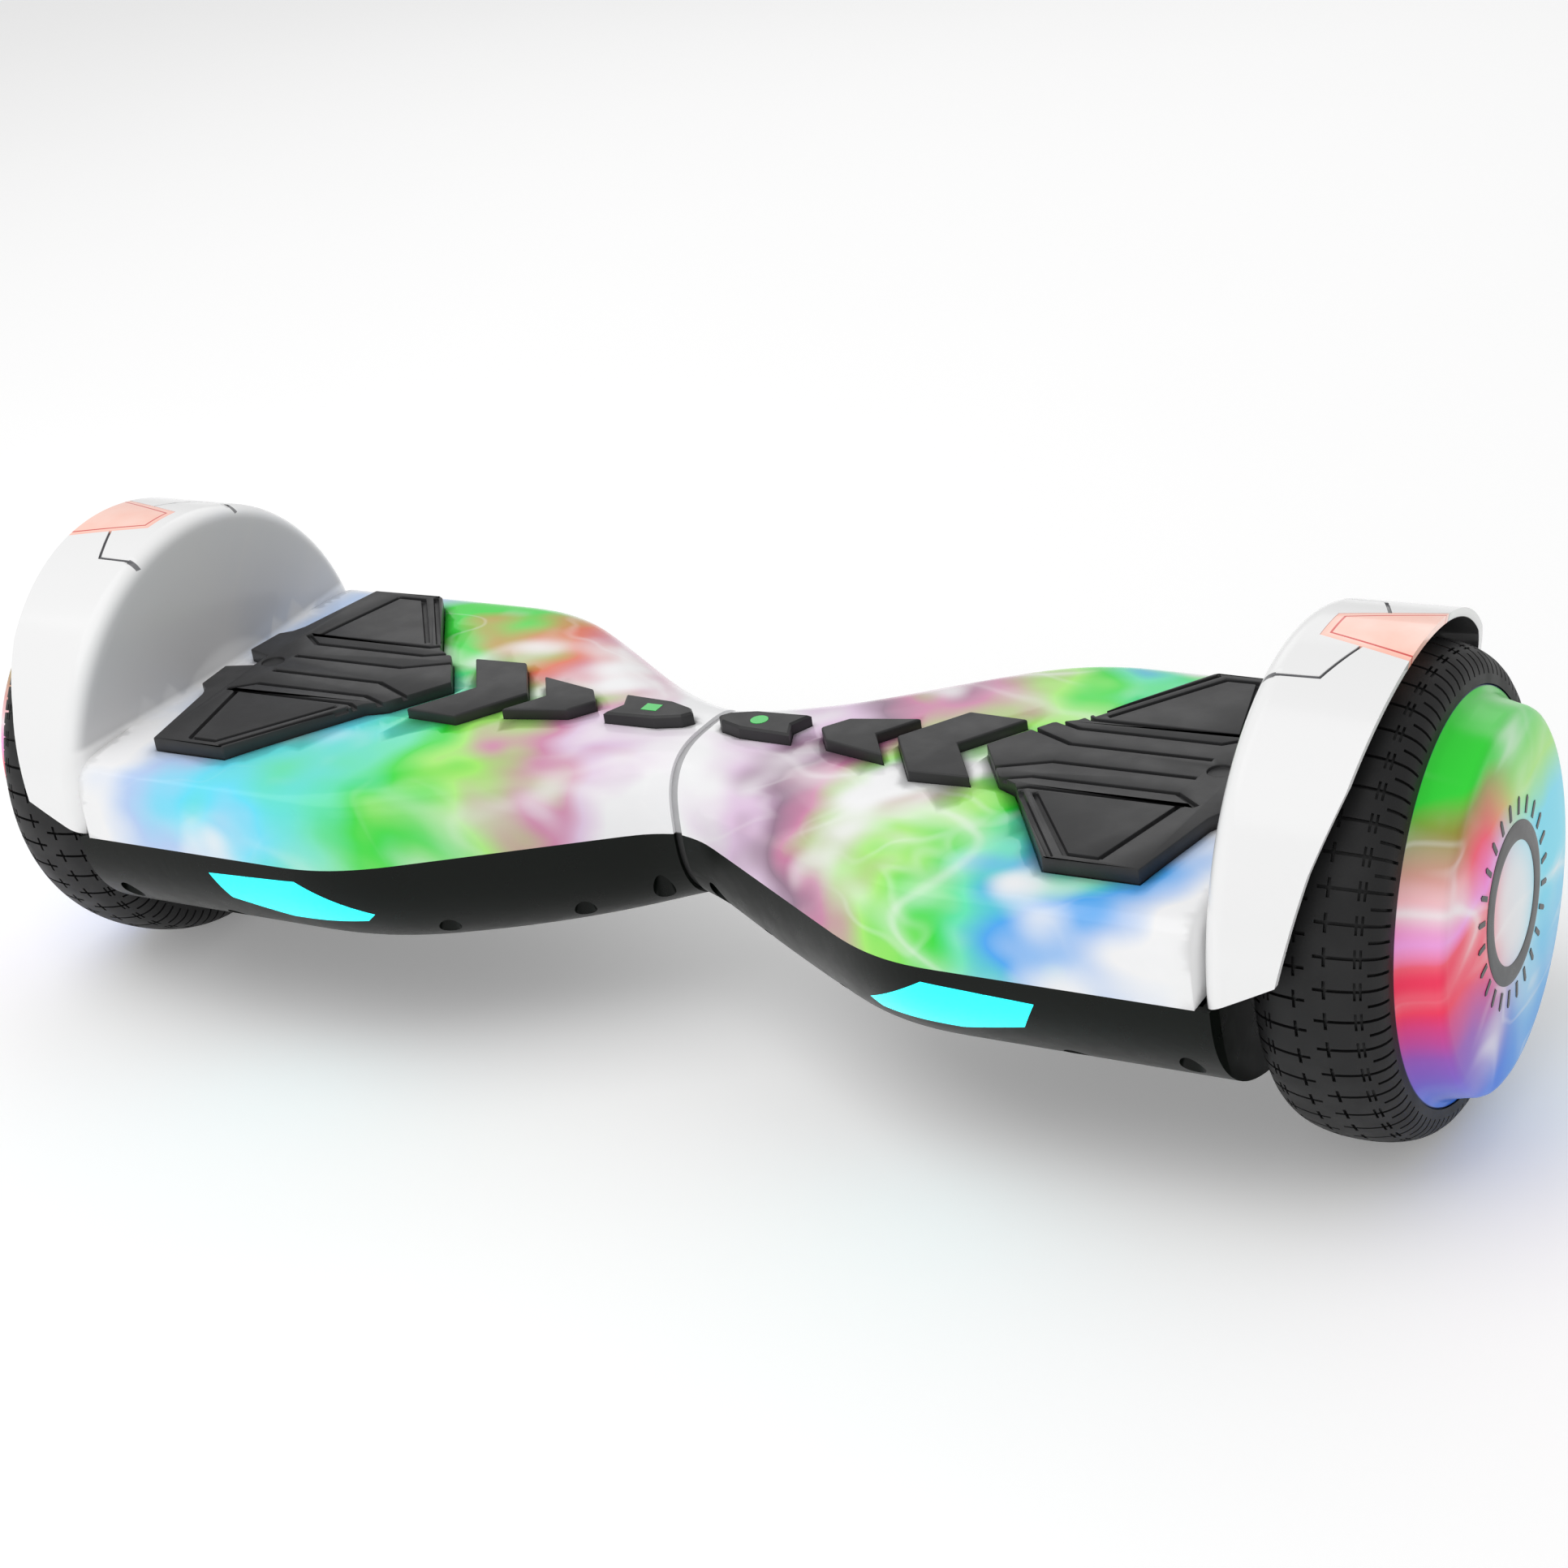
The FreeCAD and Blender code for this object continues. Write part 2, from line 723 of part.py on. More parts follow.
def tail_lens():
    """The lens that fills the window in the fender's crown, flush with it."""
    reach = FENDER_OUT.value + 6
    profile = [(WELL_WALL + 15, WELL_RIM), (reach, WELL_RIM)]
    profile += [(reach, FENDER_R.value - 0.1), (WELL_WALL + 15, FENDER_R.value - 0.1)]
    gap = size("lens_gap").value
    ring = spun(profile, 0, -180)
    lens = ring.common(prism_z(lens_outline(gap), AXLE_Z + 60, AXLE_Z + 120))
    return lens.cut(prism_y(fender_edge(), -150, 150))


def shell_screws():
    """The screws that hold the lower shell, with pan heads at the bottom of their recesses."""
    made = []
    for x, y in SCREW_PLACES:
        head = upright(x, y, SEAT.value - 2.6, SEAT.value, size("screw_head_radius").value)
        shank = upright(x, y, SEAT.value - 0.5, SEAT.value + 27, size("screw_radius").value)
        slot = Part.makeBox(4.6, 0.8, 1.2, Vector(x - 2.3, y - 0.4, SEAT.value - 2.6))
        cross = Part.makeBox(0.8, 4.6, 1.2, Vector(x - 0.4, y - 2.3, SEAT.value - 2.6))
        made.append(head.fuse(shank).cut([slot, cross]))
    return Part.makeCompound(made)


def centre_seal():
    """The ring that fills the gap between the halves, set in a little from their outline."""
    start = -SHELL_START
    wires = []
    for top in (True, False):
        points = section(SHELL_START, 1.5, 1.5, top)
        wires.append(smooth_line([Vector(start, point.y, point.z) for point in points]))
    face = Part.Face(Part.Wire(Part.__sortEdges__(wires)))
    ring = face.extrude(Vector(2 * SHELL_START - 0.3, 0, 0))
    hole = Part.makeCylinder(SHAFT_R.value, 20, Vector(-10, 0, AXLE_Z), Vector(1, 0, 0))
    return ring.cut(hole)


# ---------------------------------------------------------------- frames and pivot

SADDLE_LENGTH = 38.0
SADDLE_HALF = 22.0
CLAMP_DROP = 16.0
CLAMP_SCREWS = [(6.0, 15.0), (6.0, -15.0), (32.0, 15.0), (32.0, -15.0)]
CLAMP_SCREW_R = 2.5
STANDOFFS = [(PAD_START + 8.5, 30.0), (PAD_START + 8.5, -30.0), (PAD_START + 44.5, 24.0),
             (PAD_START + 44.5, -24.0)]
BOARD_Z = FRAME_TOP - 10.4


def frame(label, bore):
    """A cast tray under the deck, with the pivot's boss at one end and the axle's saddle."""
    made = doc.addObject("PartDesign::Body", label)
    wall = size("frame_wall")
    outer = [(FRAME_IN, 18.0), (44.0, 24.0), (112.0, 58.0), (FRAME_OUT, 58.0)]
    inner = [(FRAME_IN + wall, 18.0 - wall), (44.0, 24.0 - wall), (112.0, 58.0 - wall),
             (FRAME_OUT - wall, 58.0 - wall)]
    tray = sketch(made, label + "_outline", "XY_Plane", FRAME_LOW)
    polygon(tray, both_sides(outer))
    pad(made, label + "_tray", tray, size("frame_height"))
    hollow = sketch(made, label + "_hollow", "XY_Plane", FRAME_LOW)
    polygon(hollow, both_sides(inner))
    pocket(made, label + "_inside", hollow, size("frame_height") - wall, True)
    boss = sketch(made, label + "_boss_end", "YZ_Plane", FRAME_IN)
    circle(boss, (0.0, AXLE), BUSH_R + wall)
    pad(made, label + "_boss", boss, BOSS_LENGTH)
    saddle = sketch(made, label + "_saddle_outline", "XY_Plane", AXLE + 0.3)
    polygon(saddle, [(FRAME_OUT - SADDLE_LENGTH, -SADDLE_HALF), (FRAME_OUT, -SADDLE_HALF),
                     (FRAME_OUT, SADDLE_HALF), (FRAME_OUT - SADDLE_LENGTH, SADDLE_HALF)])
    pad(made, label + "_saddle", saddle, FRAME_TOP - AXLE - 2.0)
    posts = sketch(made, label + "_posts", "XY_Plane", BOARD_Z + size("board_thickness"))
    for place_on in STANDOFFS:
        circle(posts, place_on, 3.0)
    pad(made, label + "_standoffs", posts, FRAME_TOP - BOARD_Z - size("board_thickness") - 2.0)
    bored = sketch(made, label + "_bore_end", "YZ_Plane", FRAME_IN - 1.0)
    circle(bored, (0.0, AXLE), bore)
    pocket(made, label + "_bore", bored, BOSS_LENGTH + 2.0, True)
    seat = sketch(made, label + "_seat_end", "YZ_Plane", FRAME_OUT - SADDLE_LENGTH - 1.0)
    circle(seat, (0.0, AXLE), size("axle_radius"))
    pocket(made, label + "_seat", seat, SADDLE_LENGTH + 2.0, True)
    holes = sketch(made, label + "_holes", "XY_Plane", FRAME_LOW - 10.0)
    for x, y in PLUNGERS:
        circle(holes, (x, y), size("plunger_radius") + 1.0)
    for x, y in CLAMP_SCREWS:
        circle(holes, (FRAME_OUT - x, y), CLAMP_SCREW_R)
    pocket(made, label + "_drilled", holes, size("frame_height") + 20.0, True)
    return made


def axle_clamp():
    """The block that holds the axle up in the frame's saddle."""
    label = "right_axle_clamp"
    made = body(label)
    outline = sketch(made, label + "_outline", "XY_Plane", AXLE - CLAMP_DROP)
    polygon(outline, [(FRAME_OUT - SADDLE_LENGTH, -SADDLE_HALF), (FRAME_OUT, -SADDLE_HALF),
                      (FRAME_OUT, SADDLE_HALF), (FRAME_OUT - SADDLE_LENGTH, SADDLE_HALF)])
    pad(made, label + "_block", outline, CLAMP_DROP - 0.3)
    seat = sketch(made, label + "_seat_end", "YZ_Plane", FRAME_OUT - SADDLE_LENGTH - 1.0)
    circle(seat, (0.0, AXLE), size("axle_radius"))
    pocket(made, label + "_seat", seat, SADDLE_LENGTH + 2.0, True)
    holes = sketch(made, label + "_holes", "XY_Plane", AXLE - CLAMP_DROP - 1.0)
    for x, y in CLAMP_SCREWS:
        circle(holes, (FRAME_OUT - x, y), CLAMP_SCREW_R)
    pocket(made, label + "_drilled", holes, CLAMP_DROP + 2.0, True)
    return made


def clamp_screws():
    made = []
    for i, (x, y) in enumerate(CLAMP_SCREWS):
        low = AXLE - CLAMP_DROP
        head = rod("clamp_screw_head_%d" % i, "Z", (FRAME_OUT - x, y, low - 4.0), 4.2, 4.0)
        shank = rod("clamp_screw_shank_%d" % i, "Z", (FRAME_OUT - x, y, low - 0.5),
                    CLAMP_SCREW_R, 30.0)
        made.append(fuse("clamp_screw_%d" % i, [head, shank]))
    return finish(group("right_clamp_screws", made), "right_clamp_screws")


PIN_X = FRAME_IN + 21.0


def pivot():
    """The hollow shaft fixed in the left frame, its two bushes, its ring and its stop pin."""
    far = FRAME_IN + BOSS_LENGTH
    bore = size("pivot_shaft_bore")
    tube = turned("pivot_tube", [(0 - far, bore), (0 - far, SHAFT_R), (far + 0.6, SHAFT_R),
                                 (far + 0.6, SHAFT_R - 1.0), (far + 2.0, SHAFT_R - 1.0),
                                 (far + 2.0, SHAFT_R), (far + 4.5, SHAFT_R), (far + 4.5, bore)])
    pin_r = size("stop_pin_radius")
    hole = rod("pin_hole", "Z", (PIN_X, 0.0, AXLE - SHAFT_R - 1.0), pin_r, SHAFT_R - bore + 2.0)
    finished.pop("pivot_tube")
    finish(cut("pivot_shaft", tube, hole), "pivot_shaft")
    finish(rod("stop_pin", "Z", (PIN_X, 0.0, AXLE - BUSH_R - 5.0), pin_r,
               BUSH_R - bore + 4.5), "stop_pin")
    outside = rod("circlip_outside", "X", (far + 0.7, 0.0, AXLE), SHAFT_R + 2.4, 1.2)
    inside = rod("circlip_inside", "X", (far - 1.0, 0.0, AXLE), SHAFT_R - 1.0, 5.0)
    finish(cut("pivot_circlip", outside, inside), "pivot_circlip")
    bushes = []
    for i, start in enumerate((FRAME_IN, FRAME_IN + BOSS_LENGTH - 14.0)):
        outside = rod("bush_outside_%d" % i, "X", (start, 0.0, AXLE), BUSH_R, 14.0)
        inside = rod("bush_inside_%d" % i, "X", (start - 1.0, 0.0, AXLE),
                     SHAFT_R + size("running_clearance"), 16.0)
        bushes.append(cut("bush_%d" % i, outside, inside))
    finish(group("pivot_bushes", bushes), "pivot_bushes")


def frames():
    """The right frame turns on the bushes, with a slot that the stop pin swings in. The left
    frame grips the shaft."""
    swing = size("pivot_swing")
    slot = rod("stop_slot", "X", (PIN_X - 3.4, 0.0, AXLE), BUSH_R + 8.0, 6.8)
    bind(slot, "Angle", swing * 2 + 25.0)
    doc.recompute()
    half = swing.value + 12.5
    slot.Placement = Placement(Vector(PIN_X.value - 3.4, 0, AXLE_Z),
                               Rotation(Vector(1, 0, 0), -half) * Rotation(Vector(0, 1, 0), 90))
    bind(slot, ".Placement.Base.x", PIN_X - 3.4)
    bind(slot, ".Placement.Base.z", AXLE)
    finish(cut("right_frame", frame("right_frame_casting", BUSH_R), slot), "right_frame")
    mirrored("left_frame", frame("left_frame_casting", SHAFT_R))


# ---------------------------------------------------------------- hub-motor wheel

BEARING_R = 14.0
BEARING_WIDTH = 7.0
BEARING_IN = WHEEL_IN + 1.5
BEARING_OUT = WHEEL_MID + 14.0
COVER_LOW = WHEEL_IN + 1.2
COVER_HIGH = WHEEL_IN + 4.2
BARREL_HIGH = WHEEL_OUT - 2.0
BORE_R = size("tyre_bore_radius")
HOUSING_R = BORE_R - 5.0
CAP_R = size("wheel_radius") - 13.5
LIP_R = CAP_R - 3.0


def wheel():
    """The right wheel: rotor housing, cover, magnets, bearings, tyre and cap on one axle."""
    axle_r = size("axle_radius")
    turned("right_motor_axle", [
        (FRAME_OUT - SADDLE_LENGTH - 2.0, 0.0), (FRAME_OUT - SADDLE_LENGTH - 2.0, axle_r),
        (WHEEL_MID - 13.2, axle_r), (WHEEL_MID - 13.2, axle_r + 4.0),
        (WHEEL_MID + 13.3, axle_r + 4.0), (WHEEL_MID + 13.3, axle_r),
        (BEARING_OUT + BEARING_WIDTH + 0.5, axle_r), (BEARING_OUT + BEARING_WIDTH + 0.5, 0.0)])
    turned("right_wheel_rim", [
        (COVER_HIGH, HOUSING_R), (COVER_HIGH, BORE_R), (BARREL_HIGH - 3.0, BORE_R),
        (BARREL_HIGH - 3.0, LIP_R), (BARREL_HIGH, LIP_R), (BARREL_HIGH, BORE_R - 2.0),
        (BEARING_OUT + 3.0, BORE_R - 8.0), (BEARING_OUT + 3.0, BEARING_R + 4.0),
        (BEARING_OUT + BEARING_WIDTH, BEARING_R + 4.0),
        (BEARING_OUT + BEARING_WIDTH, BEARING_R), (BEARING_OUT, BEARING_R),
        (BEARING_OUT, HOUSING_R)])
    turned("right_motor_cover", [
        (COVER_LOW, BEARING_R), (COVER_LOW, LIP_R), (COVER_HIGH, LIP_R),
        (COVER_HIGH, BEARING_R + 4.0), (BEARING_IN + BEARING_WIDTH, BEARING_R + 4.0),
        (BEARING_IN + BEARING_WIDTH, BEARING_R)])
    tyre = turned("right_tyre", [
        (COVER_HIGH + 0.2, BORE_R), (BARREL_HIGH - 3.2, BORE_R), (BARREL_HIGH - 3.2, LIP_R + 0.2),
        (BARREL_HIGH, LIP_R + 0.2), (BARREL_HIGH, CAP_R + 0.2),
        (WHEEL_OUT, CAP_R + 0.2), (WHEEL_OUT, size("wheel_radius")),
        (WHEEL_IN, size("wheel_radius")), (WHEEL_IN, LIP_R + 1.0), (COVER_HIGH + 0.2, LIP_R + 0.2)])
    crown = size("wheel_radius").value
    round_edges(tyre, "tyre_shoulders", "Fillet", size("tyre_shoulder") - 1.0,
                lambda edge: edge.Length > 2 * math.pi * (crown - 0.01))
    bearings = []
    for i, start in enumerate((BEARING_IN, BEARING_OUT)):
        outside = rod("bearing_outside_%d" % i, "X", (start, 0.0, AXLE), BEARING_R, BEARING_WIDTH)
        inside = rod("bearing_inside_%d" % i, "X", (start - 1.0, 0.0, AXLE),
                     axle_r + size("running_clearance"), BEARING_WIDTH + 2.0)
        bearings.append(cut("bearing_%d" % i, outside, inside))
    finish(group("right_bearings", bearings), "right_bearings")
    cap = WHEEL_OUT - 0.5
    turned("right_hub_cap", [
        (cap - 1.5, CAP_R), (cap, CAP_R), (cap, CAP_R - 2.6), (cap + 8.0, CAP_R - 5.2),
        (cap + 13.0, CAP_R - 6.2), (cap + 14.0, CAP_R - 7.5), (cap + 15.6, CAP_R - 36.0),
        (cap + 16.2, 0.0), (cap + 14.2, 0.0), (cap + 13.6, CAP_R - 36.0),
        (cap + 12.0, CAP_R - 8.0), (cap + 7.0, CAP_R - 7.4), (cap - 1.5, CAP_R - 5.0)])


STATOR_R = HOUSING_R - 4.3
STATOR_WIDTH = 26.0
SLOTS = 18


def stator():
    """The laminated core on the axle, with a coil side in each of its slots."""
    made = turned("stator_core", [
        (WHEEL_MID - STATOR_WIDTH / 2, size("axle_radius") + 4.0),
        (WHEEL_MID - STATOR_WIDTH / 2, STATOR_R), (WHEEL_MID + STATOR_WIDTH / 2, STATOR_R),
        (WHEEL_MID + STATOR_WIDTH / 2, size("axle_radius") + 4.0)])
    finished.pop("stator_core")
    slot = sketch(made, "stator_slot", "YZ_Plane", WHEEL_MID - STATOR_WIDTH / 2 - 1.0)
    low = STATOR_R - 22.0
    high = STATOR_R - 4.0
    polygon(slot, [(-3.0, low), (3.0, low), (3.0, high), (-3.0, high)])
    first = pocket(made, "stator_slot_cut", slot, STATOR_WIDTH + 2.0, True)
    around = made.newObject("PartDesign::PolarPattern", "stator_slots")
    around.Originals = [first]
    axis = [feature for feature in made.Origin.OriginFeatures if feature.Role == "X_Axis"][0]
    around.Axis = (axis, [""])
    around.Angle = 360
    around.Occurrences = SLOTS
    made.Tip = around
    coils = []
    for i in range(SLOTS):
        coil = Part.makeBox(STATOR_WIDTH + 3.0, 5.6, 17.6,
                            Vector(WHEEL_MID.value - STATOR_WIDTH / 2 - 2.2, -2.8,
                                   AXLE_Z + low.value + 0.2))
        coil.rotate(Vector(0, 0, AXLE_Z), Vector(1, 0, 0), 360.0 * i / SLOTS)
        coils.append(coil)
    windings = feature("stator_windings", Part.makeCompound(coils))
    return finish(group("right_stator", [made, windings]), "right_stator")


MAGNETS = 30


def magnets():
    """The ring of flat magnets bonded inside the rotor housing."""
    made = []
    start = WHEEL_MID.value - 12.5
    inner = HOUSING_R.value - 3.2
    centre = Vector(start, 0, AXLE_Z)
    core = Part.makeCylinder(inner, 60, Vector(start - 5, 0, AXLE_Z), Vector(1, 0, 0))
    for i in range(MAGNETS):
        block = Part.makeCylinder(HOUSING_R.value, 25.0, centre, Vector(1, 0, 0), 10.6).cut(core)
        block.rotate(centre, Vector(1, 0, 0), 360.0 * i / MAGNETS)
        made.append(block)
    return Part.makeCompound(made)


COVER_SCREW_COUNT = 6


def cover_screws():
    made = []
    circle_r = (HOUSING_R.value + BORE_R.value) / 2
    for i in range(COVER_SCREW_COUNT):
        angle = 2 * math.pi * i / COVER_SCREW_COUNT
        y = circle_r * math.cos(angle)
        z = AXLE_Z + circle_r * math.sin(angle)
        made.append(Part.makeCylinder(2.4, 1.6, Vector(COVER_LOW.value - 1.6, y, z),
                                      Vector(1, 0, 0)))
    return Part.makeCompound(made)


# ---------------------------------------------------------------- deck pads

def top_edges(level):
    """Picks the edges of a pad's top face."""
    return lambda edge: all(abs(vertex.Point.z - level) < 1e-4 for vertex in edge.Vertexes)


def foot_pad():
    """The rubber foot pad, which sinks a little under a foot and has two plungers below."""
    made = body("right_foot_pad")
    outline = sketch(made, "foot_pad_outline", "XY_Plane", PAD_LOW)
    polygon(outline, both_sides(FOOT_PAD))
    pad(made, "foot_pad_plate", outline, size("pad_height"))
    round_edges(made, "foot_pad_bevel", "Chamfer", 0.8,
                top_edges((PAD_LOW + size("pad_height")).value))
    pegs = sketch(made, "foot_pad_pegs", "XY_Plane", PAD_LOW + 1.0)
    for x, y in PLUNGERS:
        circle(pegs, (x, y), size("plunger_radius"))
    pad(made, "foot_pad_plungers", pegs, PAD_LOW + 1.0 - PLUNGER_END, True)
    return made


def deck_trim(label, points, hole=None):
    """A rubber pad glued into a shallow recess in the deck, with bevelled top edges."""
    made = doc.addObject("PartDesign::Body", label)
    outline = sketch(made, label + "_outline", "XY_Plane", TRIM_LOW)
    polygon(outline, both_sides(points))
    pad(made, label + "_plate", outline, size("trim_height"))
    round_edges(made, label + "_bevel", "Chamfer", 0.8,
                top_edges((TRIM_LOW + size("trim_height")).value))
    if hole:
        window = sketch(made, label + "_window", "XY_Plane", TRIM_LOW - 1.0)
        hole(window)
        pocket(made, label + "_opening", window, size("trim_height") + 2.0, True)
    return made


def deck_trims():
    """The two chevrons and the indicator pad with its lens, on each half."""
    big = deck_trim("big_chevron", BIG_CHEVRON)
    small = deck_trim("small_chevron", SMALL_CHEVRON)
    finish(group("right_chevrons", [big, small]), "right_chevrons")
    gap = size("lens_gap")
    lens_low = TRIM_LOW + 1.0
    lens_height = size("trim_height") - 0.9
    round_hole = deck_trim("right_status_pad", INDICATOR_PAD,
                           lambda window: circle(window, (22.5, 0.0), 3.3 + gap))
    finish(round_hole, "right_indicator_pad")
    finish(rod("right_indicator_lens", "Z", (22.5, 0.0, lens_low), 3.3, lens_height),
           "right_indicator_lens")
    low, high, half = 20.0 - gap, 26.5 + gap, 2.6 + gap
    corners = [(low, -half), (high, -half), (high, half), (low, half)]
    square_hole = deck_trim("left_battery_pad", INDICATOR_PAD,
                            lambda window: polygon(window, corners))
    mirrored("left_indicator_pad", square_hole)
    block = box("left_battery_lens", (20.0, 26.5), (-2.6, 2.6),
                (lens_low, lens_low + lens_height))
    mirrored("left_indicator_lens", block)


# ---------------------------------------------------------------- electronics

BOARD = size("board_thickness")
SWITCH_HEIGHT = 3.0
PLUNGER_END = BOARD_Z + BOARD + SWITCH_HEIGHT + size("pad_travel") + 0.4


def gyro_board():
    """The sensor board on the frame's standoffs, with a switch below each plunger."""
    pieces = [box("gyro_plate", (PAD_START + 4.5, PAD_START + 57.5), (-52.0, 52.0),
                  (BOARD_Z, BOARD_Z + BOARD))]
    for i, (x, y) in enumerate(PLUNGERS):
        pieces.append(box("gyro_switch_%d" % i, (x - 5.0, x + 5.0), (y - 5.0, y + 5.0),
                          (BOARD_Z + BOARD, BOARD_Z + BOARD + SWITCH_HEIGHT)))
    pieces.append(box("gyro_chip", (PAD_START + 22.5, PAD_START + 32.5), (-5.0, 5.0),
                      (BOARD_Z + BOARD, BOARD_Z + BOARD + 1.4)))
    return finish(fuse("right_gyro_board", pieces), "right_gyro_board")


def led_boards():
    """The boards that light the light bar and the tail lens."""
    front = box("light_bar_board", (112.0, 166.0), (-77.0, -75.4), (AXLE - 22.5, AXLE - 7.0))
    tail_top = FENDER_R - size("fender_wall") - 0.35
    tail = box("tail_board", (SHELL_END + 13.4, SHELL_END + 36.4), (-7.0, 7.0),
               (AXLE + tail_top - BOARD, AXLE + tail_top))
    return finish(group("right_led_boards", [front, tail]), "right_led_boards")


BATTERY_START = FRAME_IN + 60.2
BATTERY_LOW = AXLE - 41.0


def battery():
    """The battery pack under the left frame, and the bent strap that holds it up."""
    length = size("battery_length")
    half = size("battery_width") / 2
    top = BATTERY_LOW + size("battery_height")
    pack = box("battery_case", (BATTERY_START, BATTERY_START + length), (-half, half),
               (BATTERY_LOW, top))
    wrapped = doc.addObject("Part::Fillet", "battery_rounded")
    wrapped.Base = pack
    doc.recompute()
    long_edges = [i + 1 for i, edge in enumerate(pack.Shape.Edges)
                  if abs(edge.Length - length.value) < 1e-6]
    wrapped.Edges = [(i, 5.0, 5.0) for i in long_edges]
    mirrored("battery_pack", wrapped)
    x = (BATTERY_START + length / 2 - 10.0, BATTERY_START + length / 2 + 10.0)
    skin = 1.5
    gap = 0.2
    wide = half + gap
    under = box("strap_under", x, (-wide - skin, wide + skin),
                (BATTERY_LOW - gap - skin, BATTERY_LOW - gap))
    pieces = [under]
    for side in (-1, 1):
        leg = (wide, wide + skin) if side > 0 else (-wide - skin, -wide)
        foot = (wide, Size(58.0, "58")) if side > 0 else (Size(-58.0, "-58"), -wide)
        pieces.append(box("strap_leg_%d" % (side + 1), x, leg,
                          (BATTERY_LOW - gap - skin, FRAME_LOW)))
        pieces.append(box("strap_foot_%d" % (side + 1), x, foot, (FRAME_LOW - skin, FRAME_LOW)))
    mirrored("battery_bracket", fuse("battery_strap", pieces))


def control_board():
    """The motor controller under the right frame, on a heat sink with four posts."""
    low = AXLE - 12.5
    plate = box("controller_plate", (76.0, 160.0), (-30.0, 30.0), (low, low + BOARD))
    sink = box("controller_sink", (80.0, 156.0), (-27.0, 27.0), (low + BOARD, low + BOARD + 6.0))
    pieces = [plate, sink]
    for i, (x, y) in enumerate([(86.0, 22.0), (86.0, -22.0), (110.0, 22.0), (110.0, -22.0)]):
        pieces.append(rod("controller_post_%d" % i, "Z", (x, y, low + BOARD + 5.0), 3.0,
                          FRAME_TOP - size("frame_wall") - low - BOARD - 5.0))
    for i, y in enumerate((-16.0, 0.0, 16.0)):
        pieces.append(rod("capacitor_%d" % i, "Z", (92.0, y, low - 12.0), 6.0, 12.5))
    return finish(fuse("control_board", pieces), "control_board")


def wire_harness():
    """The lead from the battery, through the hollow pivot shaft, to the right half."""
    end = FRAME_IN + BOSS_LENGTH + 10.0
    bundle = rod("harness_bundle", "X", (-BATTERY_START - 12.0, 0.0, AXLE), 3.5,
                 BATTERY_START + 12.0 + end)
    plug = rod("harness_plug", "X", (end - 1.0, 0.0, AXLE), 5.5, 8.0)
    top = BATTERY_LOW + size("battery_height")
    block = box("harness_block", (-BATTERY_START - 16.0, -BATTERY_START - 4.0), (-8.0, 8.0),
                (top, AXLE + 3.5))
    return finish(fuse("wire_harness", [bundle, plug, block]), "wire_harness")


# ---------------------------------------------------------------- port and button

def charge_socket():
    """A round three-pin socket in its cup: a flanged sleeve, an insulator and the pins."""
    depth = size("port_depth").value
    mouth = -CUP_DEPTH + 2.0
    bore = size("port_bore_radius").value
    sleeve = port_rod(PORT_X, PORT_BODY, mouth - depth - 2.5, mouth)
    sleeve = sleeve.fuse(port_rod(PORT_X, PORT_CUP - 0.3, -CUP_DEPTH, mouth - 0.6))
    sleeve = sleeve.cut(port_rod(PORT_X, bore, mouth - depth, mouth + 1))
    pins = []
    for i in range(3):
        angle = math.radians(90 + 120 * i)
        base = port_point(PORT_X + 3.4 * math.cos(angle), 3.4 * math.sin(angle),
                          mouth - depth - 0.5)
        pins.append(Part.makeCylinder(0.9, 6.0, base, PORT_OUT))
    return sleeve.fuse(pins).removeSplitter()


def charge_flap():
    """The rubber flap over the socket, with its hinge barrel at the top."""
    disc = port_rod(PORT_X, PORT_CUP - 0.6, FLAP_FRONT - FLAP_THICK, FLAP_FRONT)
    return disc.fuse(flap_barrel(BARREL_R, 8.0)).removeSplitter()


def power_button():
    """The round button, with a stem that reaches the switch behind it."""
    cap = port_rod(BUTTON_X, size("button_radius").value, BUTTON_REST, 0.6)
    stem = port_rod(BUTTON_X, BUTTON_STEM, BUTTON_REST - 12.0, BUTTON_REST)
    return cap.fuse(stem).removeSplitter()


BUTTON_REST = -CUP_DEPTH + size("button_travel").value + 0.8


def power_switch():
    """The switch that the button's stem presses, in its block behind the wall."""
    top = BUTTON_REST - 12.0 - size("button_travel").value - 0.4
    corners = [port_point(BUTTON_X + across, up, top)
               for across, up in ((-6.5, -5.0), (6.5, -5.0), (6.5, 5.0), (-6.5, 5.0))]
    face = Part.Face(Part.makePolygon(corners + corners[:1]))
    return face.extrude(PORT_OUT * -9.0)


def mirror_shape(label, shape):
    """A left-hand piece made from a free-form right-hand one."""
    return mirrored(label, feature(label + "_source", shape))


# ---------------------------------------------------------------- the whole board

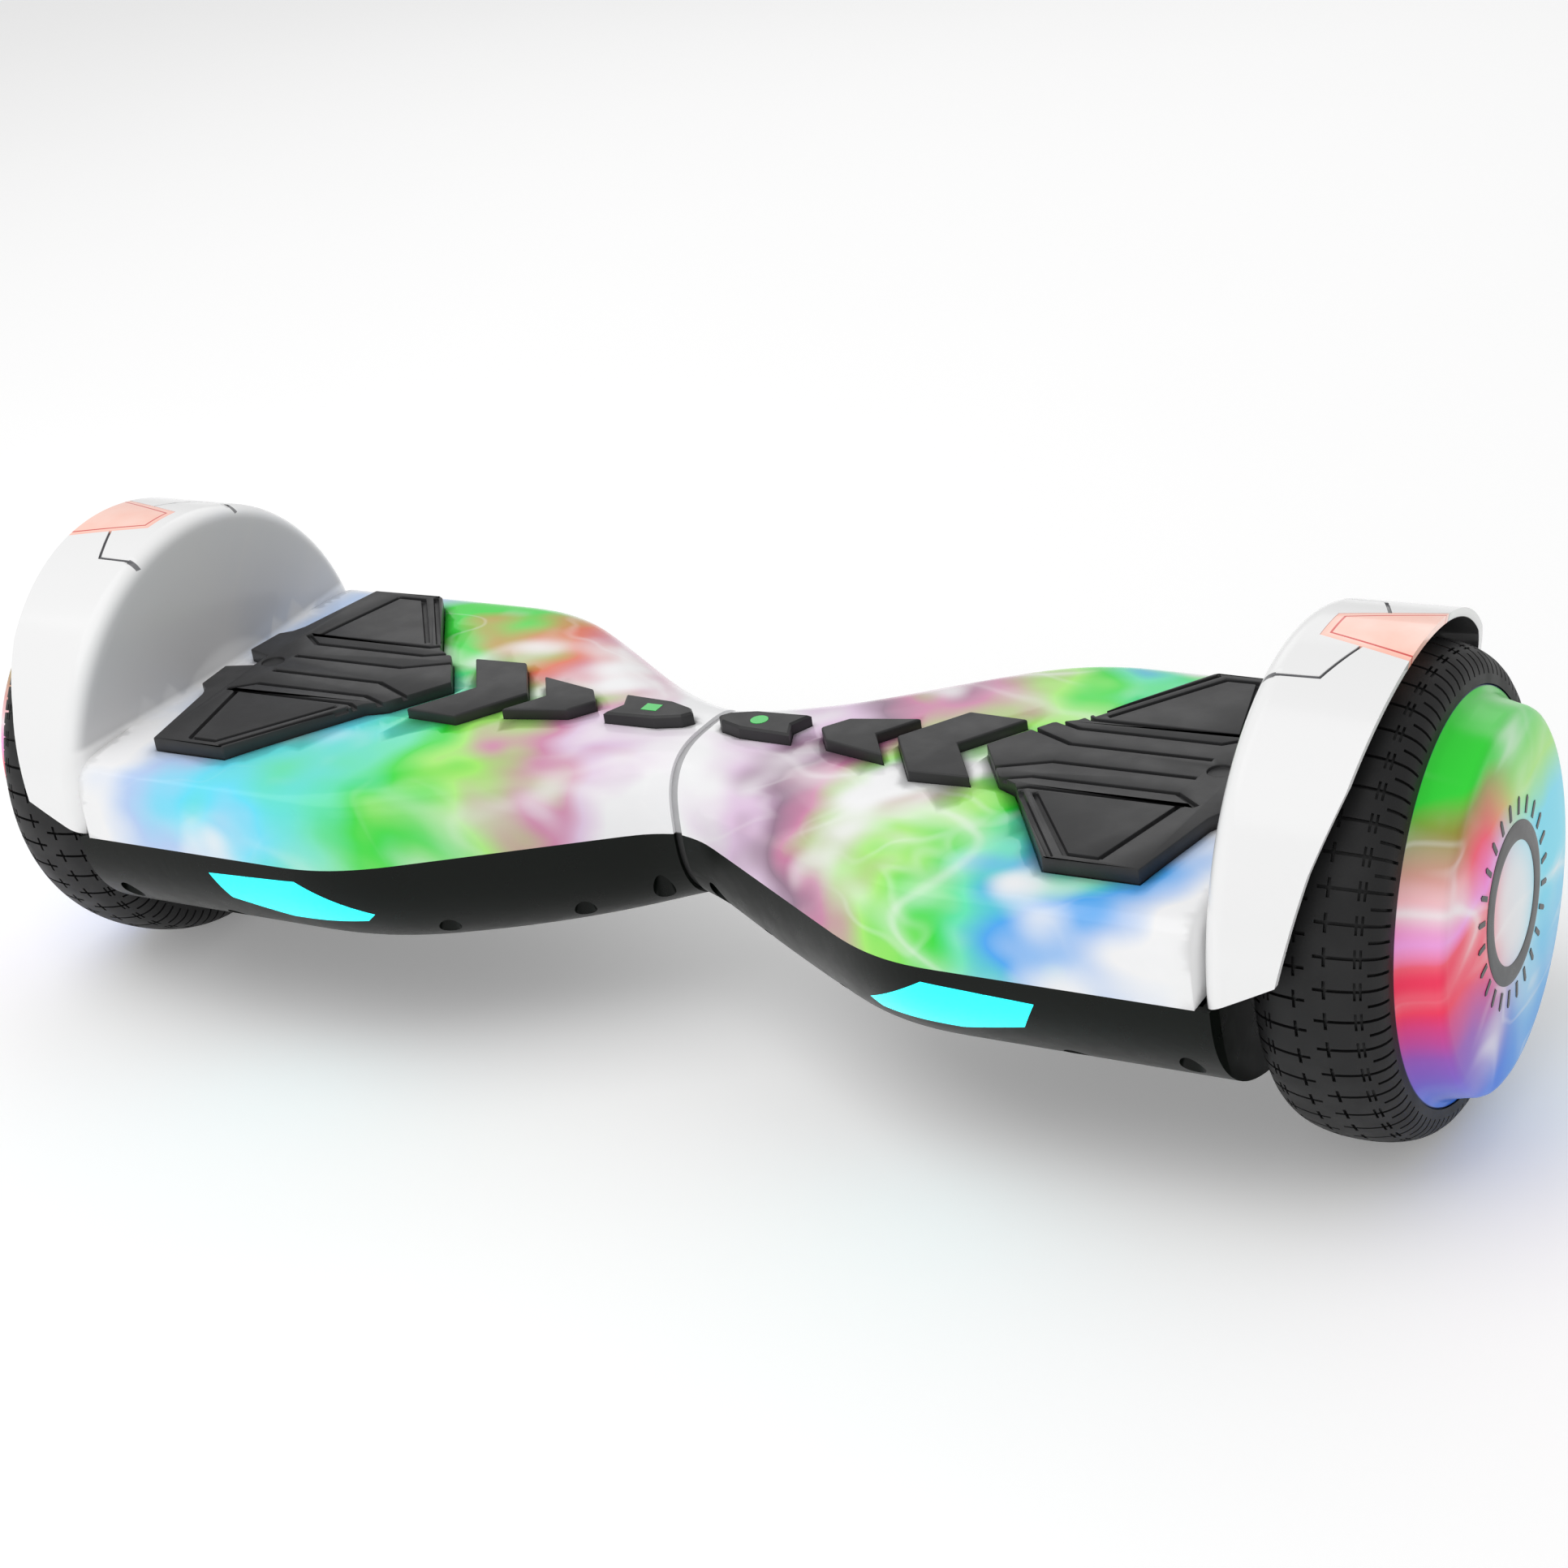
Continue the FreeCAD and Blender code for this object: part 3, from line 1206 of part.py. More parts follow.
def build():
    finish(feature("right_top_shell", top_shell()), "right_top_shell")
    finish(feature("right_bottom_shell", bottom_shell(False)), "right_bottom_shell")
    finish(feature("right_light_bar", light_bar()), "right_light_bar")
    finish(feature("right_tail_lens", tail_lens()), "right_tail_lens")
    finish(feature("right_shell_screws", shell_screws()), "right_shell_screws")
    finish(feature("right_magnets", magnets()), "right_magnets")
    finish(feature("right_cover_screws", cover_screws()), "right_cover_screws")
    foot_pad()
    axle_clamp()
    clamp_screws()
    wheel()
    stator()
    gyro_board()
    led_boards()
    for label in list(finished):
        if label != "right_bottom_shell":
            mirrored(label.replace("right_", "left_", 1), finished[label])
    deck_trims()
    mirrored("left_chevrons", finished["right_chevrons"])
    frames()
    pivot()
    battery()
    control_board()
    wire_harness()
    finish(feature("centre_seal", centre_seal()), "centre_seal")
    mirror_shape("left_bottom_shell", bottom_shell(True))
    mirror_shape("charge_socket", charge_socket())
    mirror_shape("charge_flap", charge_flap())
    mirror_shape("power_button", power_button())
    mirror_shape("power_switch", power_switch())
    doc.recompute()


def check():
    """Stop if any object failed, or if a sub-part has no valid shape."""
    for thing in doc.Objects:
        if "Invalid" in thing.State or "Error" in thing.State:
            raise RuntimeError("%s failed: %s" % (thing.Label, thing.State))
    for label, thing in finished.items():
        if thing.Shape.isNull() or not thing.Shape.isValid() or not thing.Shape.Solids:
            raise RuntimeError("%s has no valid solid" % label)


def write():
    os.makedirs("parts", exist_ok=True)
    for label, thing in finished.items():
        thing.Shape.exportStep("parts/%s.step" % label)
        print("%-24s %2d solids %10.0f mm3" % (label, len(thing.Shape.Solids),
                                               thing.Shape.Volume))
    print(len(finished), "nodes")


build()
check()
write()
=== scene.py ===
import math

import bmesh
import bpy
from mathutils import Matrix, Vector


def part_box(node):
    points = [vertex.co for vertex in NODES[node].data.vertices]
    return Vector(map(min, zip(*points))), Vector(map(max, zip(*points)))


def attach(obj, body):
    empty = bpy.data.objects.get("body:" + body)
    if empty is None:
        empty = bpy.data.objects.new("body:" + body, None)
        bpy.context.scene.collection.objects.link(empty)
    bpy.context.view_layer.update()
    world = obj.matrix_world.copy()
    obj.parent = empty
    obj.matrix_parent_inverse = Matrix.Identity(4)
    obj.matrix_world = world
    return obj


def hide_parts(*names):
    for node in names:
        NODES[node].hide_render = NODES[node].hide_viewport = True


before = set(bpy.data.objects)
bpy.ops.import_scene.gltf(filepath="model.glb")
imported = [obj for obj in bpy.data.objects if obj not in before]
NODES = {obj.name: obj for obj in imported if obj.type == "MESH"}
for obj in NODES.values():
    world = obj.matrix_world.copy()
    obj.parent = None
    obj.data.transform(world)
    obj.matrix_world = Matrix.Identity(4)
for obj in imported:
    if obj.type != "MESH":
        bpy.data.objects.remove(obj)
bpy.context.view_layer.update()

bl_info = {
    "name": "Self balancing hoverboard",
    "version": (1, 0, 0),
    "blender": (4, 5, 0),
    "location": "View3D > Sidebar > Hoverboard",
    "description": "Builds the finished pieces of a hoverboard around its CAD frame",
    "category": "Object",
}

MM = 0.001
SIDES = {"right": 1, "left": -1}

# Lengths that come from the CAD pieces, in metres.
TYRE_LOW, TYRE_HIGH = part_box("right_tyre")
WHEEL_R = (TYRE_HIGH[2] - TYRE_LOW[2]) / 2
AXLE_Z = (TYRE_HIGH[2] + TYRE_LOW[2]) / 2
TYRE_IN, TYRE_OUT = TYRE_LOW[0], TYRE_HIGH[0]
TYRE_MID = (TYRE_IN + TYRE_OUT) / 2
CAP_LOW, CAP_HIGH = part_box("right_hub_cap")
CAP_R = (CAP_HIGH[2] - CAP_LOW[2]) / 2
SHELL_LOW, SHELL_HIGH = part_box("right_top_shell")
FENDER_R = SHELL_HIGH[2] - AXLE_Z
SEAM_Z = SHELL_LOW[2]
DECK_RISE = 30.5 * MM
DECK_Z = SEAM_Z + DECK_RISE
PAD_LOW, PAD_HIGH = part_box("right_foot_pad")
PRINT_REACH = PAD_HIGH[0] + 6 * MM


# ---------------------------------------------------------------- settings

def length(name, description, default):
    return bpy.props.FloatProperty(name=name, description=description, default=default,
                                   unit="LENGTH", precision=5)


def colour(name, description, default):
    return bpy.props.FloatVectorProperty(name=name, description=description, default=default,
                                         subtype="COLOR", size=3, min=0, max=1)


class HoverboardSizes(bpy.types.PropertyGroup):
    tread_pitches: bpy.props.IntProperty(
        name="Tread pitches", description="Times the tread repeats around a tyre", default=48)
    tread_depth: length("Tread depth", "Depth of the sipes in a tyre", 1.3 * MM)
    sipe: length("Sipe width", "Width of a sipe in a tyre", 1.1 * MM)
    pad_groove: length("Pad groove", "Width of a groove in a foot pad", 1.9 * MM)
    pad_groove_depth: length("Pad groove depth", "Depth of a groove in a foot pad", 1.8 * MM)
    rubber_round: length("Rubber edge", "Rounding of the rubber pads' edges", 0.55 * MM)
    fender_groove: length("Fender groove", "Width of the grooves beside a tail lens", 1.3 * MM)
    cap_marks: bpy.props.IntProperty(
        name="Cap marks", description="Short bars around the ring on a hub cap", default=24)


class HoverboardColours(bpy.types.PropertyGroup):
    shell: colour("Shell", "Gloss white of the upper shells", (0.93, 0.93, 0.93))
    lining: colour("Lining", "Inside of the fenders", (0.045, 0.045, 0.047))
    lower: colour("Lower shell", "Gloss black of the lower shells", (0.002, 0.0035, 0.0022))
    pad: colour("Pads", "Charcoal of the rubber pads", (0.030, 0.030, 0.031))
    tyre: colour("Tyre", "Black of the tyres", (0.012, 0.012, 0.0125))
    light: colour("Light bar", "Cyan of the light bars", (0.0, 0.95, 1.0))
    tail: colour("Tail lens", "Salmon of the tail lenses", (1.0, 0.48, 0.36))
    tail_line: colour("Tail lens line", "Line moulded in the tail lenses", (0.62, 0.01, 0.01))
    indicator: colour("Indicator", "Green of the indicators", (0.02, 0.55, 0.08))


class HoverboardStage(bpy.types.PropertyGroup):
    floor: colour("Floor", "Pale floor and background", (0.95, 0.95, 0.95))
    camera_lens: bpy.props.FloatProperty(
        name="Lens", description="Focal length of the camera", default=71.8, unit="CAMERA")
    key_power: bpy.props.FloatProperty(
        name="Key light", description="Power of the large overhead light", default=12.5)
    fill_power: bpy.props.FloatProperty(
        name="Fill light", description="Power of the light beside the camera", default=2.2)
    back_power: bpy.props.FloatProperty(
        name="Back light", description="Power of the light behind the board", default=3.0)


def sizes():
    return bpy.context.scene.hoverboard_sizes


def colours():
    return bpy.context.scene.hoverboard_colours


def stage_settings():
    return bpy.context.scene.hoverboard_stage


# ---------------------------------------------------------------- meshes

def add_object(name, mesh):
    made = bpy.data.objects.new(name, mesh)
    bpy.context.scene.collection.objects.link(made)
    return made


def from_bmesh(name, shape, merge=1e-6):
    """An object from a bmesh, with doubles merged and faces turned outwards."""
    bmesh.ops.remove_doubles(shape, verts=shape.verts, dist=merge)
    bmesh.ops.recalc_face_normals(shape, faces=shape.faces)
    mesh = bpy.data.meshes.new(name)
    shape.to_mesh(mesh)
    shape.free()
    return add_object(name, mesh)


def node_copy(node, name):
    """A merged copy of a CAD node, to cut detail into."""
    shape = bmesh.new()
    shape.from_mesh(NODES[node].data)
    bmesh.ops.remove_doubles(shape, verts=shape.verts, dist=1e-6)
    mesh = bpy.data.meshes.new(name)
    shape.to_mesh(mesh)
    shape.free()
    return add_object(name, mesh)


def settle(piece):
    """Turn a piece's modifiers into plain mesh."""
    depsgraph = bpy.context.evaluated_depsgraph_get()
    mesh = bpy.data.meshes.new_from_object(piece.evaluated_get(depsgraph))
    piece.modifiers.clear()
    old = piece.data
    piece.data = mesh
    bpy.data.meshes.remove(old)
    return piece


def carve(piece, cutters):
    """Cut closed shapes out of a piece, and remove them."""
    for cutter in cutters:
        cutting = piece.modifiers.new("carve", "BOOLEAN")
        cutting.operation = "DIFFERENCE"
        cutting.solver = "EXACT"
        cutting.object = cutter
    settle(piece)
    for cutter in cutters:
        bpy.data.objects.remove(cutter)


def soften(piece, width, segments=2, angle=35.0):
    """Round the edges of a piece that are sharper than an angle."""
    rounding = piece.modifiers.new("round", "BEVEL")
    rounding.width = width
    rounding.segments = segments
    rounding.limit_method = "ANGLE"
    rounding.angle_limit = math.radians(angle)
    rounding.use_clamp_overlap = False
    settle(piece)


def smooth(piece, angle=30.0):
    piece.data.shade_smooth()
    piece.data.set_sharp_from_angle(angle=math.radians(angle))


def paint(piece, material):
    piece.data.materials.clear()
    piece.data.materials.append(material)


def ready(piece, body, material, nodes=()):
    """Finish a piece: its material, the body that it rides on and the nodes it stands for."""
    if material:
        paint(piece, material)
    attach(piece, body)
    if nodes:
        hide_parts(*nodes)


def round_crown(piece):
    """Shades the fender's crown as the true cylinder it is, right up to its grooves."""
    mesh = piece.data
    normals = [corner.vector.copy() for corner in mesh.corner_normals]
    for face in mesh.polygons:
        for loop in face.loop_indices:
            place = mesh.vertices[mesh.loops[loop].vertex_index].co
            outward = Vector((0.0, place.y, place.z - AXLE_Z))
            on_crown = abs(outward.length - FENDER_R) < 0.1 * MM
            outward.normalize()
            if on_crown and face.normal.dot(outward) > 0.98:
                normals[loop] = outward
    mesh.normals_split_custom_set(normals)


def prism(name, outline, low, high, side=1):
    """A closed prism along Z on an outline of (x, y) points in millimetres."""
    shape = bmesh.new()
    ring = [shape.verts.new((side * x * MM, y * MM, low)) for x, y in outline]
    face = shape.faces.new(ring)
    lifted = bmesh.ops.extrude_face_region(shape, geom=[face])
    for item in lifted["geom"]:
        if isinstance(item, bmesh.types.BMVert):
            item.co.z = high
    return from_bmesh(name, shape)


def stroke(points, width):
    """The outline of a line of this width along points, with mitred corners."""
    left, right = [], []
    for i, (x, y) in enumerate(points):
        before = Vector(points[max(i - 1, 0)])
        after = Vector(points[min(i + 1, len(points) - 1)])
        here = Vector((x, y))
        first = (here - before).normalized() if i else (after - here).normalized()
        last = (after - here).normalized() if i < len(points) - 1 else first
        across = Vector((-first.y - last.y, first.x + last.x)).normalized()
        reach = width / 2 / max(across.dot(Vector((-first.y, first.x))), 0.3)
        left.append(tuple(here + across * reach))
        right.append(tuple(here - across * reach))
    return left + right[::-1]


def lathe(name, profile, side, count=128):
    """A shape turned about the wheel's axle from a closed profile of (x, radius)."""
    shape = bmesh.new()
    rings = []
    for i in range(count):
        angle = 2 * math.pi * i / count
        rings.append([shape.verts.new((side * x * MM, r * MM * math.cos(angle),
                                       AXLE_Z + r * MM * math.sin(angle)))
                      for x, r in profile])
    size = len(profile)
    for i in range(count):
        here, after = rings[i], rings[(i + 1) % count]
        for j in range(size):
            k = (j + 1) % size
            if profile[j][1] == 0 and profile[k][1] == 0:
                continue
            corners = [here[j], here[k], after[k], after[j]]
            if profile[k][1] == 0:
                corners = [here[j], here[k], after[j]]
            elif profile[j][1] == 0:
                corners = [here[j], here[k], after[k]]
            shape.faces.new(corners)
    return from_bmesh(name, shape, 1e-7)


def ring_tree():
    """Nodes that repeat a mesh in a ring about the axle, then merge it into one."""
    tree = bpy.data.node_groups.new("ring_of_repeats", "GeometryNodeTree")
    sockets = tree.interface
    sockets.new_socket("Mesh", in_out="INPUT", socket_type="NodeSocketGeometry")
    sockets.new_socket("Count", in_out="INPUT", socket_type="NodeSocketInt")
    sockets.new_socket("Centre", in_out="INPUT", socket_type="NodeSocketVector")
    sockets.new_socket("Merge", in_out="INPUT", socket_type="NodeSocketFloat")
    sockets.new_socket("Material", in_out="INPUT", socket_type="NodeSocketMaterial")
    sockets.new_socket("Mesh", in_out="OUTPUT", socket_type="NodeSocketGeometry")
    nodes, links = tree.nodes, tree.links
    given = nodes.new("NodeGroupInput")
    result = nodes.new("NodeGroupOutput")
    places = nodes.new("GeometryNodePoints")
    links.new(given.outputs["Count"], places.inputs["Count"])
    links.new(given.outputs["Centre"], places.inputs["Position"])
    index = nodes.new("GeometryNodeInputIndex")
    share = nodes.new("ShaderNodeMath")
    share.operation = "DIVIDE"
    links.new(index.outputs[0], share.inputs[0])
    links.new(given.outputs["Count"], share.inputs[1])
    turn = nodes.new("ShaderNodeMath")
    turn.operation = "MULTIPLY"
    turn.inputs[1].default_value = 2 * math.pi
    links.new(share.outputs[0], turn.inputs[0])
    about = nodes.new("ShaderNodeCombineXYZ")
    links.new(turn.outputs[0], about.inputs["X"])
    repeat = nodes.new("GeometryNodeInstanceOnPoints")
    links.new(places.outputs[0], repeat.inputs["Points"])
    links.new(given.outputs["Mesh"], repeat.inputs["Instance"])
    links.new(about.outputs[0], repeat.inputs["Rotation"])
    real = nodes.new("GeometryNodeRealizeInstances")
    links.new(repeat.outputs[0], real.inputs[0])
    merge = nodes.new("GeometryNodeMergeByDistance")
    links.new(real.outputs[0], merge.inputs["Geometry"])
    links.new(given.outputs["Merge"], merge.inputs["Distance"])
    coat = nodes.new("GeometryNodeSetMaterial")
    links.new(merge.outputs[0], coat.inputs["Geometry"])
    links.new(given.outputs["Material"], coat.inputs["Material"])
    links.new(coat.outputs[0], result.inputs[0])
    return tree


def repeat_ring(piece, count, material, merge=2e-6):
    """Repeat a piece in a ring about the axle. Its mesh is given relative to the axle."""
    tree = bpy.data.node_groups.get("ring_of_repeats") or ring_tree()
    ring = piece.modifiers.new("ring", "NODES")
    ring.node_group = tree
    values = {"Count": count, "Centre": (0.0, 0.0, AXLE_Z), "Merge": merge,
              "Material": material}
    for item in tree.interface.items_tree:
        if item.in_out == "INPUT" and item.name in values:
            ring[item.identifier] = values[item.name]
    return settle(piece)


# ---------------------------------------------------------------- materials

class Finish:
    """A material, and short ways to add its nodes."""

    def __init__(self, name, base, roughness, **settings):
        self.material = bpy.data.materials.new(name)
        self.material.use_nodes = True
        self.tree = self.material.node_tree
        self.shader = self.tree.nodes["Principled BSDF"]
        self.set(self.shader, "Base Color", (*base, 1.0) if isinstance(base, tuple) else base)
        self.set(self.shader, "Roughness", roughness)
        for key, value in settings.items():
            self.set(self.shader, key.replace("_", " "), value)
        self.place = self.tree.nodes.new("ShaderNodeTexCoord").outputs["Object"]

    def set(self, node, key, value):
        if isinstance(value, bpy.types.NodeSocket):
            self.tree.links.new(value, node.inputs[key])
        else:
            node.inputs[key].default_value = value

    def add(self, kind, out=0, attributes=None, **inputs):
        node = self.tree.nodes.new(kind)
        for key, value in (attributes or {}).items():
            setattr(node, key, value)
        for key, value in inputs.items():
            self.set(node, key.replace("_", " "), value)
        return node.outputs[out]

    def math(self, operation, first, second=0.0, third=None):
        node = self.tree.nodes.new("ShaderNodeMath")
        node.operation = operation
        self.set(node, 0, first)
        self.set(node, 1, second)
        if third is not None:
            self.set(node, 2, third)
        return node.outputs[0]

    def vector(self, operation, first, second, out=0):
        node = self.tree.nodes.new("ShaderNodeVectorMath")
        node.operation = operation
        self.set(node, 0, first)
        self.set(node, 1, second)
        return node.outputs[out]

    def ramp(self, value, low, high, start=0.0, end=1.0):
        """Rises smoothly from start to end while the value goes from low to high."""
        node = self.tree.nodes.new("ShaderNodeMapRange")
        node.interpolation_type = "SMOOTHSTEP"
        for key, given in (("Value", value), ("From Min", low), ("From Max", high),
                           ("To Min", start), ("To Max", end)):
            self.set(node, key, given)
        return node.outputs[0]

    def mix(self, factor, first, second, kind="MIX"):
        node = self.tree.nodes.new("ShaderNodeMix")
        node.data_type = "RGBA"
        node.blend_type = kind
        self.set(node, 0, factor)
        self.set(node, 6, (*first, 1.0) if isinstance(first, tuple) else first)
        self.set(node, 7, (*second, 1.0) if isinstance(second, tuple) else second)
        return node.outputs[2]

    def bands(self, share, stops):
        """Blends from band to band while the share goes through the bands' places."""
        node = self.tree.nodes.new("ShaderNodeValToRGB")
        self.set(node, 0, share)
        ramp = node.color_ramp
        for spare in list(ramp.elements)[1:]:
            ramp.elements.remove(spare)
        ramp.elements[0].position = stops[0][0]
        ramp.elements[0].color = (*stops[0][1], 1.0)
        for place, tint in stops[1:]:
            ramp.elements.new(place).color = (*tint, 1.0)
        return node.outputs[0]

    def noise(self, scale, detail=2.0, out=0, at=None, roughness=0.5):
        return self.add("ShaderNodeTexNoise", out, Vector=at or self.place, Scale=scale,
                        Detail=detail, Roughness=roughness)

    def segment_gap(self, place, first, second):
        """How far a flat place is from the straight line between two points in millimetres."""
        start = (first[0] * MM, first[1] * MM, 0.0)
        run = ((second[0] - first[0]) * MM, (second[1] - first[1]) * MM, 0.0)
        offset = self.vector("SUBTRACT", place, start)
        share = self.math("DIVIDE", self.vector("DOT_PRODUCT", offset, run, 1),
                          run[0] ** 2 + run[1] ** 2)
        share = self.math("MINIMUM", self.math("MAXIMUM", share, 0.0), 1.0)
        foot = self.add("ShaderNodeCombineXYZ", X=self.math("MULTIPLY", share, run[0]),
                        Y=self.math("MULTIPLY", share, run[1]))
        return self.vector("DISTANCE", offset, foot, 1)

    def bump(self, height, strength, distance):
        out = self.add("ShaderNodeBump", Height=height, Strength=strength, Distance=distance)
        self.set(self.shader, "Normal", out)

    def split(self):
        node = self.tree.nodes.new("ShaderNodeSeparateXYZ")
        self.set(node, 0, self.place)
        return node.outputs


def plain_finish(name, base, roughness, grain=900.0, depth=0.00004, spread=0.12, **settings):
    """A moulded or cast finish: a little variation of tone and gloss, and a fine grain."""
    made = Finish(name, base, roughness, **settings)
    tone = made.noise(35.0, 4.0)
    darker = tuple(channel * (1 - spread) for channel in base)
    lighter = tuple(min(channel * (1 + spread), 1.0) for channel in base)
    made.set(made.shader, "Base Color", made.mix(tone, darker, lighter))
    made.set(made.shader, "Roughness",
             made.ramp(made.noise(120.0, 3.0), 0.3, 0.7, roughness * 0.9, roughness * 1.1))
    made.bump(made.noise(grain, 3.0), 0.25, depth)
    return made


# The print's colours.
WHITE = (0.95, 0.95, 0.96)
LILAC = (0.80, 0.60, 0.80)
MAUVE = (0.34, 0.20, 0.30)
ROSE = (0.66, 0.25, 0.42)
CRIMSON = (1.0, 0.04, 0.12)
MAGENTA = (1.0, 0.25, 0.80)
ORANGE = (0.80, 0.16, 0.07)
OLIVE = (0.35, 0.32, 0.06)
LIME = (0.40, 0.90, 0.16)
GREEN = (0.04, 0.78, 0.05)
MINT = (0.14, 0.84, 0.50)
CYAN = (0.16, 0.80, 1.0)
AZURE = (0.08, 0.42, 0.95)
BLUE = (0.01, 0.18, 0.86)
PURPLE = (0.35, 0.10, 0.54)
PALE_BLUE = (0.50, 0.66, 0.95)

# Bands along each half of the deck: (share of the way from the centre to the fender, colour).
RIGHT_BANDS = [(0.05, WHITE), (0.15, LILAC), (0.25, MAUVE), (0.35, ROSE), (0.5, LIME),
               (0.6, GREEN), (0.7, MINT), (0.8, AZURE), (0.9, PALE_BLUE), (1.0, WHITE)]
LEFT_BANDS = [(0.05, WHITE), (0.15, LILAC), (0.2, ROSE), (0.3, LIME), (0.4, GREEN),
              (0.5, MINT), (0.7, CYAN), (0.85, PALE_BLUE), (1.0, WHITE)]
LEFT_BACK_BANDS = [(0.1, WHITE), (0.3, ROSE), (0.45, ORANGE), (0.6, GREEN), (0.75, GREEN),
                   (0.9, PALE_BLUE)]

# Bands up the hub cap, from its lowest edge to its top, on its front and on its back.
CAP_FRONT_BANDS = [(0.1, BLUE), (0.3, PURPLE), (0.45, CRIMSON), (0.6, CRIMSON),
                   (0.65, MAGENTA), (0.75, CRIMSON), (0.85, OLIVE), (0.9, GREEN)]
CAP_BACK_BANDS = [(0.1, AZURE), (0.45, CYAN), (0.6, CYAN), (0.75, LIME), (0.9, GREEN)]


def wandering(made, share, flat, reach):
    """A place along some bands, shifted by a noise so that the bands' edges wander."""
    drift = made.math("SUBTRACT", made.noise(17.0, 2.0, at=flat), 0.5)
    return made.math("MULTIPLY_ADD", drift, reach, share)


def strands(made, flat, scale, width, stretch):
    """Soft wandering lines, 1 along a line and 0 away from it, drawn out along the first axis."""
    placed = made.vector("MULTIPLY", flat, (1 / stretch, 1.0, 1.0))
    level = made.add("ShaderNodeTexNoise", 0, Vector=placed, Scale=scale, Detail=2.0,
                     Roughness=0.40, Distortion=0.35)
    return made.ramp(made.math("ABSOLUTE", made.math("SUBTRACT", level, 0.5)), 0.0, width,
                     1.0, 0.0)


def plasma(made, flat, tint, scale, glow, stretch, clouds):
    """The print: airbrushed colour with white clouds, and white strands with a soft halo."""
    cloud = made.ramp(made.noise(15.0, 2.0, at=flat), 0.52, 0.68, 0.0, clouds)
    tint = made.mix(cloud, tint, WHITE)
    near = made.ramp(made.noise(scale * 0.9, 1.0, at=flat), 0.42, 0.66)
    broad = made.math("POWER", strands(made, flat, scale, 0.090, stretch), 2.0)
    fine = strands(made, flat, scale * 1.7, 0.024, stretch)
    thin = strands(made, flat, scale, 0.020, stretch)
    halo = made.math("MULTIPLY", made.math("MULTIPLY", broad, near), glow)
    tint = made.mix(halo, tint, (1.0, 1.0, 1.0))
    for core, share in ((thin, glow * 0.8), (fine, glow * 0.5)):
        tint = made.mix(made.math("MULTIPLY", made.math("MULTIPLY", core, near), share), tint,
                        (1.0, 1.0, 1.0))
    return tint


# Grooves in a fender beside the tail lens: (x, distance from the middle) in millimetres.
FENDER_GROOVE = [(228.5, 30.1), (248.7, 29.7), (256.6, 12.4)]


def shell_finish():
    """White gloss with the print on the deck, plain fenders with painted shade on their inner
    walls and in their grooves, and a dark lining.
    """
    made = Finish("printed_white_shell", colours().shell[:], 0.26, Coat_Weight=0.15,
                  Coat_Roughness=0.08, Specular_IOR_Level=0.22)
    white = tuple(colours().shell)
    x, y, z = made.split()
    down = made.math("SUBTRACT", DECK_Z, z)
    unrolled = made.math("MULTIPLY_ADD", made.math("SIGN", y), down, y)
    flat = made.add("ShaderNodeCombineXYZ", X=x, Y=unrolled)
    along = made.math("ABSOLUTE", x)
    share = wandering(made, made.math("DIVIDE", along, PRINT_REACH), flat, 0.7)
    left = made.mix(made.ramp(y, 0.0, 25 * MM), made.bands(share, LEFT_BANDS),
                    made.bands(share, LEFT_BACK_BANDS))
    tint = made.mix(made.math("GREATER_THAN", x, 0.0), left, made.bands(share, RIGHT_BANDS))
    tint = plasma(made, flat, tint, 12.0, 0.40, 1.3, 1.0)
    fade = made.ramp(along, 212 * MM, 234 * MM)
    tint = made.mix(fade, tint, white)
    upright = made.math("SUBTRACT", z, AXLE_Z)
    radius = made.math("SQRT", made.math("ADD", made.math("MULTIPLY", y, y),
                                         made.math("MULTIPLY", upright, upright)))
    outside = made.math("MULTIPLY_ADD", radius, -6.0 / 66.5, along)
    behind = made.math("GREATER_THAN", outside, 222.1 * MM)
    below = made.math("LESS_THAN", radius, FENDER_R - 2.9 * MM)
    # Painted shade: the fender's inner wall above the deck is greyed below its crown, standing in
    # for the shade that falls on it.
    painted_wall_shade = made.ramp(outside, 218.5 * MM, 220.5 * MM)
    painted_wall_shade = made.math("MULTIPLY", painted_wall_shade, made.ramp(radius, FENDER_R - 0.6 * MM, FENDER_R - 6 * MM,
                                                 0.0, 1.0))
    painted_wall_shade = made.math("MULTIPLY", painted_wall_shade, made.ramp(z, DECK_Z, DECK_Z + 3 * MM))
    tint = made.mix(made.math("MULTIPLY", painted_wall_shade, 0.8), tint, (0.50, 0.50, 0.51))
    plan = made.add("ShaderNodeCombineXYZ", X=along, Y=made.math("ABSOLUTE", y))
    gaps = [made.segment_gap(plan, first, second)
            for first, second in zip(FENDER_GROOVE, FENDER_GROOVE[1:])]
    # Painted shade: the grooves beside the tail lens are tinted dark grey for the shade that
    # falls in them.
    sunk = made.ramp(made.math("MINIMUM", *gaps), 0.9 * MM, 1.2 * MM, 1.0, 0.0)
    sunk = made.math("MULTIPLY", sunk, made.math("GREATER_THAN", z, AXLE_Z + 84 * MM))
    sunk = made.math("MULTIPLY", sunk, made.math("LESS_THAN", radius, FENDER_R - 0.3 * MM))
    tint = made.mix(sunk, tint, (0.20, 0.20, 0.21))
    lined = made.math("MULTIPLY", behind, below)
    made.set(made.shader, "Base Color", made.mix(lined, tint, tuple(colours().lining)))
    made.set(made.shader, "Roughness", made.ramp(lined, 0.0, 1.0, 0.20, 0.6))
    made.bump(made.noise(260.0, 2.0), 0.05, 0.00003)
    return made.material


